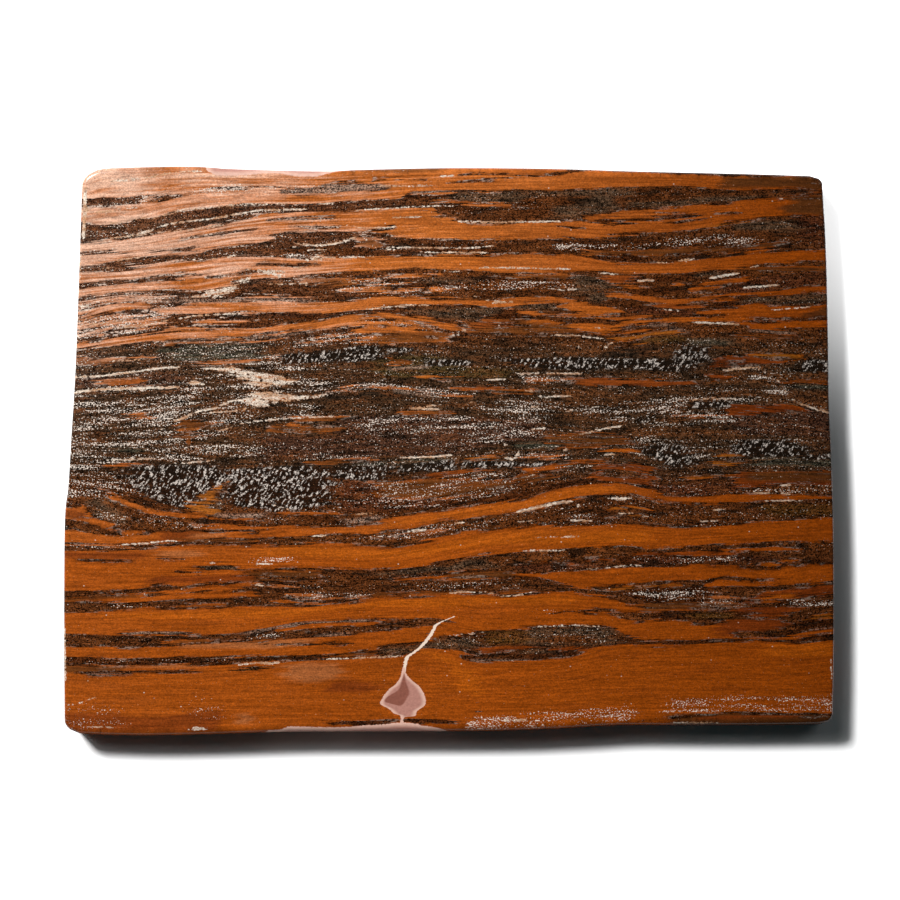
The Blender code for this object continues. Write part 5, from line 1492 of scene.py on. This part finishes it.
def cobbles(r, colour):
    """Coarse pale grains that lean to the right, on black."""
    cobbled = r.amount("cobbles")
    leaning = r.node("CombineXYZ", r.add(r.x, r.times(r.y, -0.55)), r.y, r.z)
    grains = r.add(r.times(r.noise(leaning, (1.2, 0.5, 1.2), 1.0, 0.5), 0.5),
                   r.times(r.noise(r.millimetres, (0.8, 1.0, 0.8), 2.0, 0.6), 0.5))
    grains = r.step(r.add(grains, r.ramp(r.x, -150.0, 150.0, 0.0, -0.015)), 0.52, 0.565)
    grains = r.times(grains, r.ramp(r.fine_grain, 0.4, 0.58, 0.1, 1.0))
    colour = r.blend(r.times(cobbled, 0.75), colour, paint((26, 18, 12)))
    return r.blend(r.times(grains, cobbled), colour, paint((222, 208, 196)))


def white_specks(r, colour):
    """White specks, partly pale grains and partly painted glints, that lie thick where a layer is speckled,
    come in drifts and lie thicker in the painted sheen.
    """
    drifts = r.noise(r.along, (0.05, 0.5, 0.05), 3.0, 0.6)
    # more specks where the painted sheen is
    thick = r.add(r.amount("specks"), r.ramp(r.painted_sheen, 0.3, 1.0, 0.0, 0.2))
    thick = r.times(thick, r.ramp(r.crumbs, 0.35, 0.65, 0.7, 1.3))
    thick = r.times(thick, r.ramp(drifts, 0.35, 0.65, 0.25, 1.75))
    level = r.ramp(thick, 0.0, 1.0, 0.73, 0.5)
    speck = r.step(r.minus(r.noise(r.millimetres, (1.5, 1.9, 1.5), 2.0, 0.6), level), 0.0, 0.03)
    glint = r.blend(r.step(thick, 0.05, 0.4), paint((222, 160, 110)), paint((244, 226, 210)))
    return r.blend(r.times(speck, 0.95), colour, glint)


def single_sparks(r, colour):
    """White sparks that lie anywhere, one by one."""
    stars = r.tree.nodes.new("ShaderNodeTexVoronoi")
    r.feed(stars.inputs["Vector"], r.stretch(r.millimetres, (0.2, 0.26, 0.2)))
    stars.inputs["Scale"].default_value = 1.0
    chosen = r.step(r.node("SeparateXYZ", stars.outputs["Color"]), 0.45, 0.75)
    star = r.times(r.step(stars.outputs["Distance"], 0.08, 0.03), chosen)
    return r.blend(r.times(star, 0.8), colour, paint((236, 214, 196)))


def pale_quartz_and_highlight(r, colour):
    """The pale threads, the chalky patches, and the painted highlight on the left edge by the far corner."""
    inside = r.add(r.amount("pale"), r.ramp(r.grain, 0.3, 0.7, -0.2, 0.2),
                   r.ramp(r.crumbs, 0.3, 0.7, -0.35, 0.25))
    quartz_and_highlight = r.blend(r.step(r.patches, 0.42, 0.6), paint((250, 232, 212)), paint((212, 164, 126)))
    quartz_and_highlight = r.blend(r.step(r.crumbs, 0.5, 0.68, 0.0, 0.7), quartz_and_highlight, paint((150, 100, 70)))
    quartz_and_highlight = r.shade(quartz_and_highlight, r.ramp(r.fine_grain, 0.35, 0.65, 0.6, 1.15))
    return r.blend(r.step(inside, -0.1, 0.15, 0.0, 0.95), colour, quartz_and_highlight)


def cut_off(r, inside, low, high):
    """A distance inside something that ends at the heights low and high."""
    return r.least(inside, r.least(r.minus(high, r.y), r.minus(r.y, low)))


def white_vein(r, colour):
    vein_x = r.course(r.y, [(y, x) for x, y, _ in VEIN])
    vein_width = r.course(r.y, [(y, width) for _, y, width in VEIN])
    inside = r.minus(r.times(vein_width, 0.62), r.node("Math", r.minus(r.x, vein_x), operation="ABSOLUTE"))
    inside = r.add(cut_off(r, inside, VEIN[-1][1], VEIN[0][1] + 0.2), r.wobble)
    return r.blend(r.times(r.step(inside, -0.15, 0.15), r.on_top), colour, paint((246, 222, 202)))


def inside_sides(r, left, right):
    """How far each point lies between two sides that are given as (y, x)."""
    inside = r.least(r.minus(r.x, r.course(r.y, left)), r.minus(r.course(r.y, right), r.x))
    return cut_off(r, inside, left[0][0], left[-1][0])


def pink_filling(r, colour):
    """The filled hollow with its darker core, and the filled chips of the near and far edges."""
    hollow = inside_sides(r, HOLLOW_LEFT, HOLLOW_RIGHT)
    core = inside_sides(r, CORE_LEFT, CORE_RIGHT)
    filler = r.node("Math", r.amount("filler"), hollow, operation="MAXIMUM")
    filler = r.add(filler, r.times(r.wobble, 0.6))
    pink = r.blend(r.step(filler, 0.4, 2.4), paint((228, 184, 166)), paint((186, 132, 118)))
    pink = r.blend(r.step(core, -0.5, 0.5), pink, paint((144, 88, 73)))
    pink = r.shade(pink, r.ramp(r.mixed, 0.3, 0.7, 0.85, 1.15))
    return r.blend(r.times(r.step(filler, -0.15, 0.15), r.on_top), colour, pink)


def polish(r, is_gold):
    """The polished face shines most on gold; the walls and the back don't shine."""
    r.feed(r.shader.inputs["Roughness"], r.ramp(r.crumbs, 0.3, 0.7, 0.16, 0.2))
    shine = r.times(r.ramp(is_gold, 0.0, 1.0, 0.1, 0.3), r.ramp(r.z, 16.4, 17.8))
    r.feed(r.shader.inputs["Specular IOR Level"], shine)
    bump = r.tree.nodes.new("ShaderNodeBump")
    bump.inputs["Strength"].default_value = 0.1
    bump.inputs["Distance"].default_value = 0.0001
    r.feed(bump.inputs["Height"], r.mixed)
    r.feed(r.shader.inputs["Normal"], bump.outputs[0])


def stone_material():
    r = StoneRecipe()
    is_gold = r.step(r.gold_in, -0.14, 0.14)
    colour = r.blend(is_gold, dark_stone(r), gold_stone(r))
    for part in (pale_rims, cobbles, white_specks, single_sparks, pale_quartz_and_highlight):
        colour = part(r, colour)
    # painted shade: darker towards the right, where the light falls off; and darker on the walls and the
    # back
    colour = r.shade(colour, r.ramp(r.x, 5.0, 150.0, 1.0, 0.66))
    colour = r.shade(colour, r.ramp(r.z, 8.0, 17.0, 0.6, 1.0))
    colour = pink_filling(r, white_vein(r, colour))
    r.feed(r.shader.inputs["Base Color"], colour)
    polish(r, is_gold)
    return r.material


def floor_white():
    material = bpy.data.materials.new("floor_white")
    material.use_nodes = True
    shader = material.node_tree.nodes["Principled BSDF"]
    shader.inputs["Base Color"].default_value = (0.95, 0.95, 0.95, 1.0)
    shader.inputs["Roughness"].default_value = 0.9
    shader.inputs["Specular IOR Level"].default_value = 0.0
    return material


def lamp(name, kind, spot, target, power, **settings):
    """A lamp at spot that faces target; both in metres, power in watts."""
    light = bpy.data.lights.new(name, kind)
    light.energy = power
    for key, value in settings.items():
        setattr(light, key, value)
    holder = bpy.data.objects.new(name, light)
    holder.location = spot
    holder.rotation_euler = (Vector(spot) - Vector(target)).to_track_quat("Z", "Y").to_euler()
    bpy.context.scene.collection.objects.link(holder)
    return holder


def studio():
    """A pale floor, a window light with a soft surround, two weak lights on the floor alone, a dim room."""
    reach = 3.0
    floor_mesh = bpy.data.meshes.new("floor")
    floor_mesh.from_pydata([(-reach, -reach, 0), (reach, -reach, 0), (reach, reach, 0), (-reach, reach, 0)],
                           [], [(0, 1, 2, 3)])
    floor = bpy.data.objects.new("floor", floor_mesh)
    floor_mesh.materials.append(floor_white())
    bpy.context.scene.collection.objects.link(floor)

    scene = bpy.context.scene
    scene.world = bpy.data.worlds.new("room")
    scene.world.use_nodes = True
    room = scene.world.node_tree.nodes["Background"]
    room.inputs["Color"].default_value = (0.5, 0.95, 1.05, 1.0)
    room.inputs["Strength"].default_value = 0.015

    middle = (0, 0, 0)
    lamp("window", "AREA", WINDOW, middle, 87.0, shape="SQUARE", size=0.4)
    lamp("window_surround", "AREA", WINDOW, middle, 14.5, shape="SQUARE", size=1.1)
    side = lamp("side_light", "SPOT", (0.26, 0.17, 0.5), (0.19, 0.125, 0), 10.0,
                spot_size=math.radians(26), spot_blend=1.0, shadow_soft_size=0.02)
    low = lamp("low_light", "POINT", (0.3, 0.08, 0.1), middle, 0.22, shadow_soft_size=0.08)
    floor_only = bpy.data.collections.new("floor_only")
    floor_only.objects.link(floor)
    for light in (side, low):
        light.light_linking.receiver_collection = floor_only
    scene.view_settings.view_transform = "Standard"


def straight_down_camera():
    camera = bpy.data.objects.new("camera", bpy.data.cameras.new("camera"))
    camera.data.lens, camera.data.sensor_width = 100.7, 36.0
    # the slab lies a pixel left of the photograph's middle and a pixel below it
    camera.location = (PIXEL * MM, PIXEL * MM, THICKNESS * MM + CAMERA_HEIGHT)
    bpy.context.scene.collection.objects.link(camera)
    bpy.context.scene.camera = camera


slab = build_slab()
slab.data.materials.append(stone_material())
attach(slab, "root")
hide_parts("slab")
studio()
straight_down_camera()
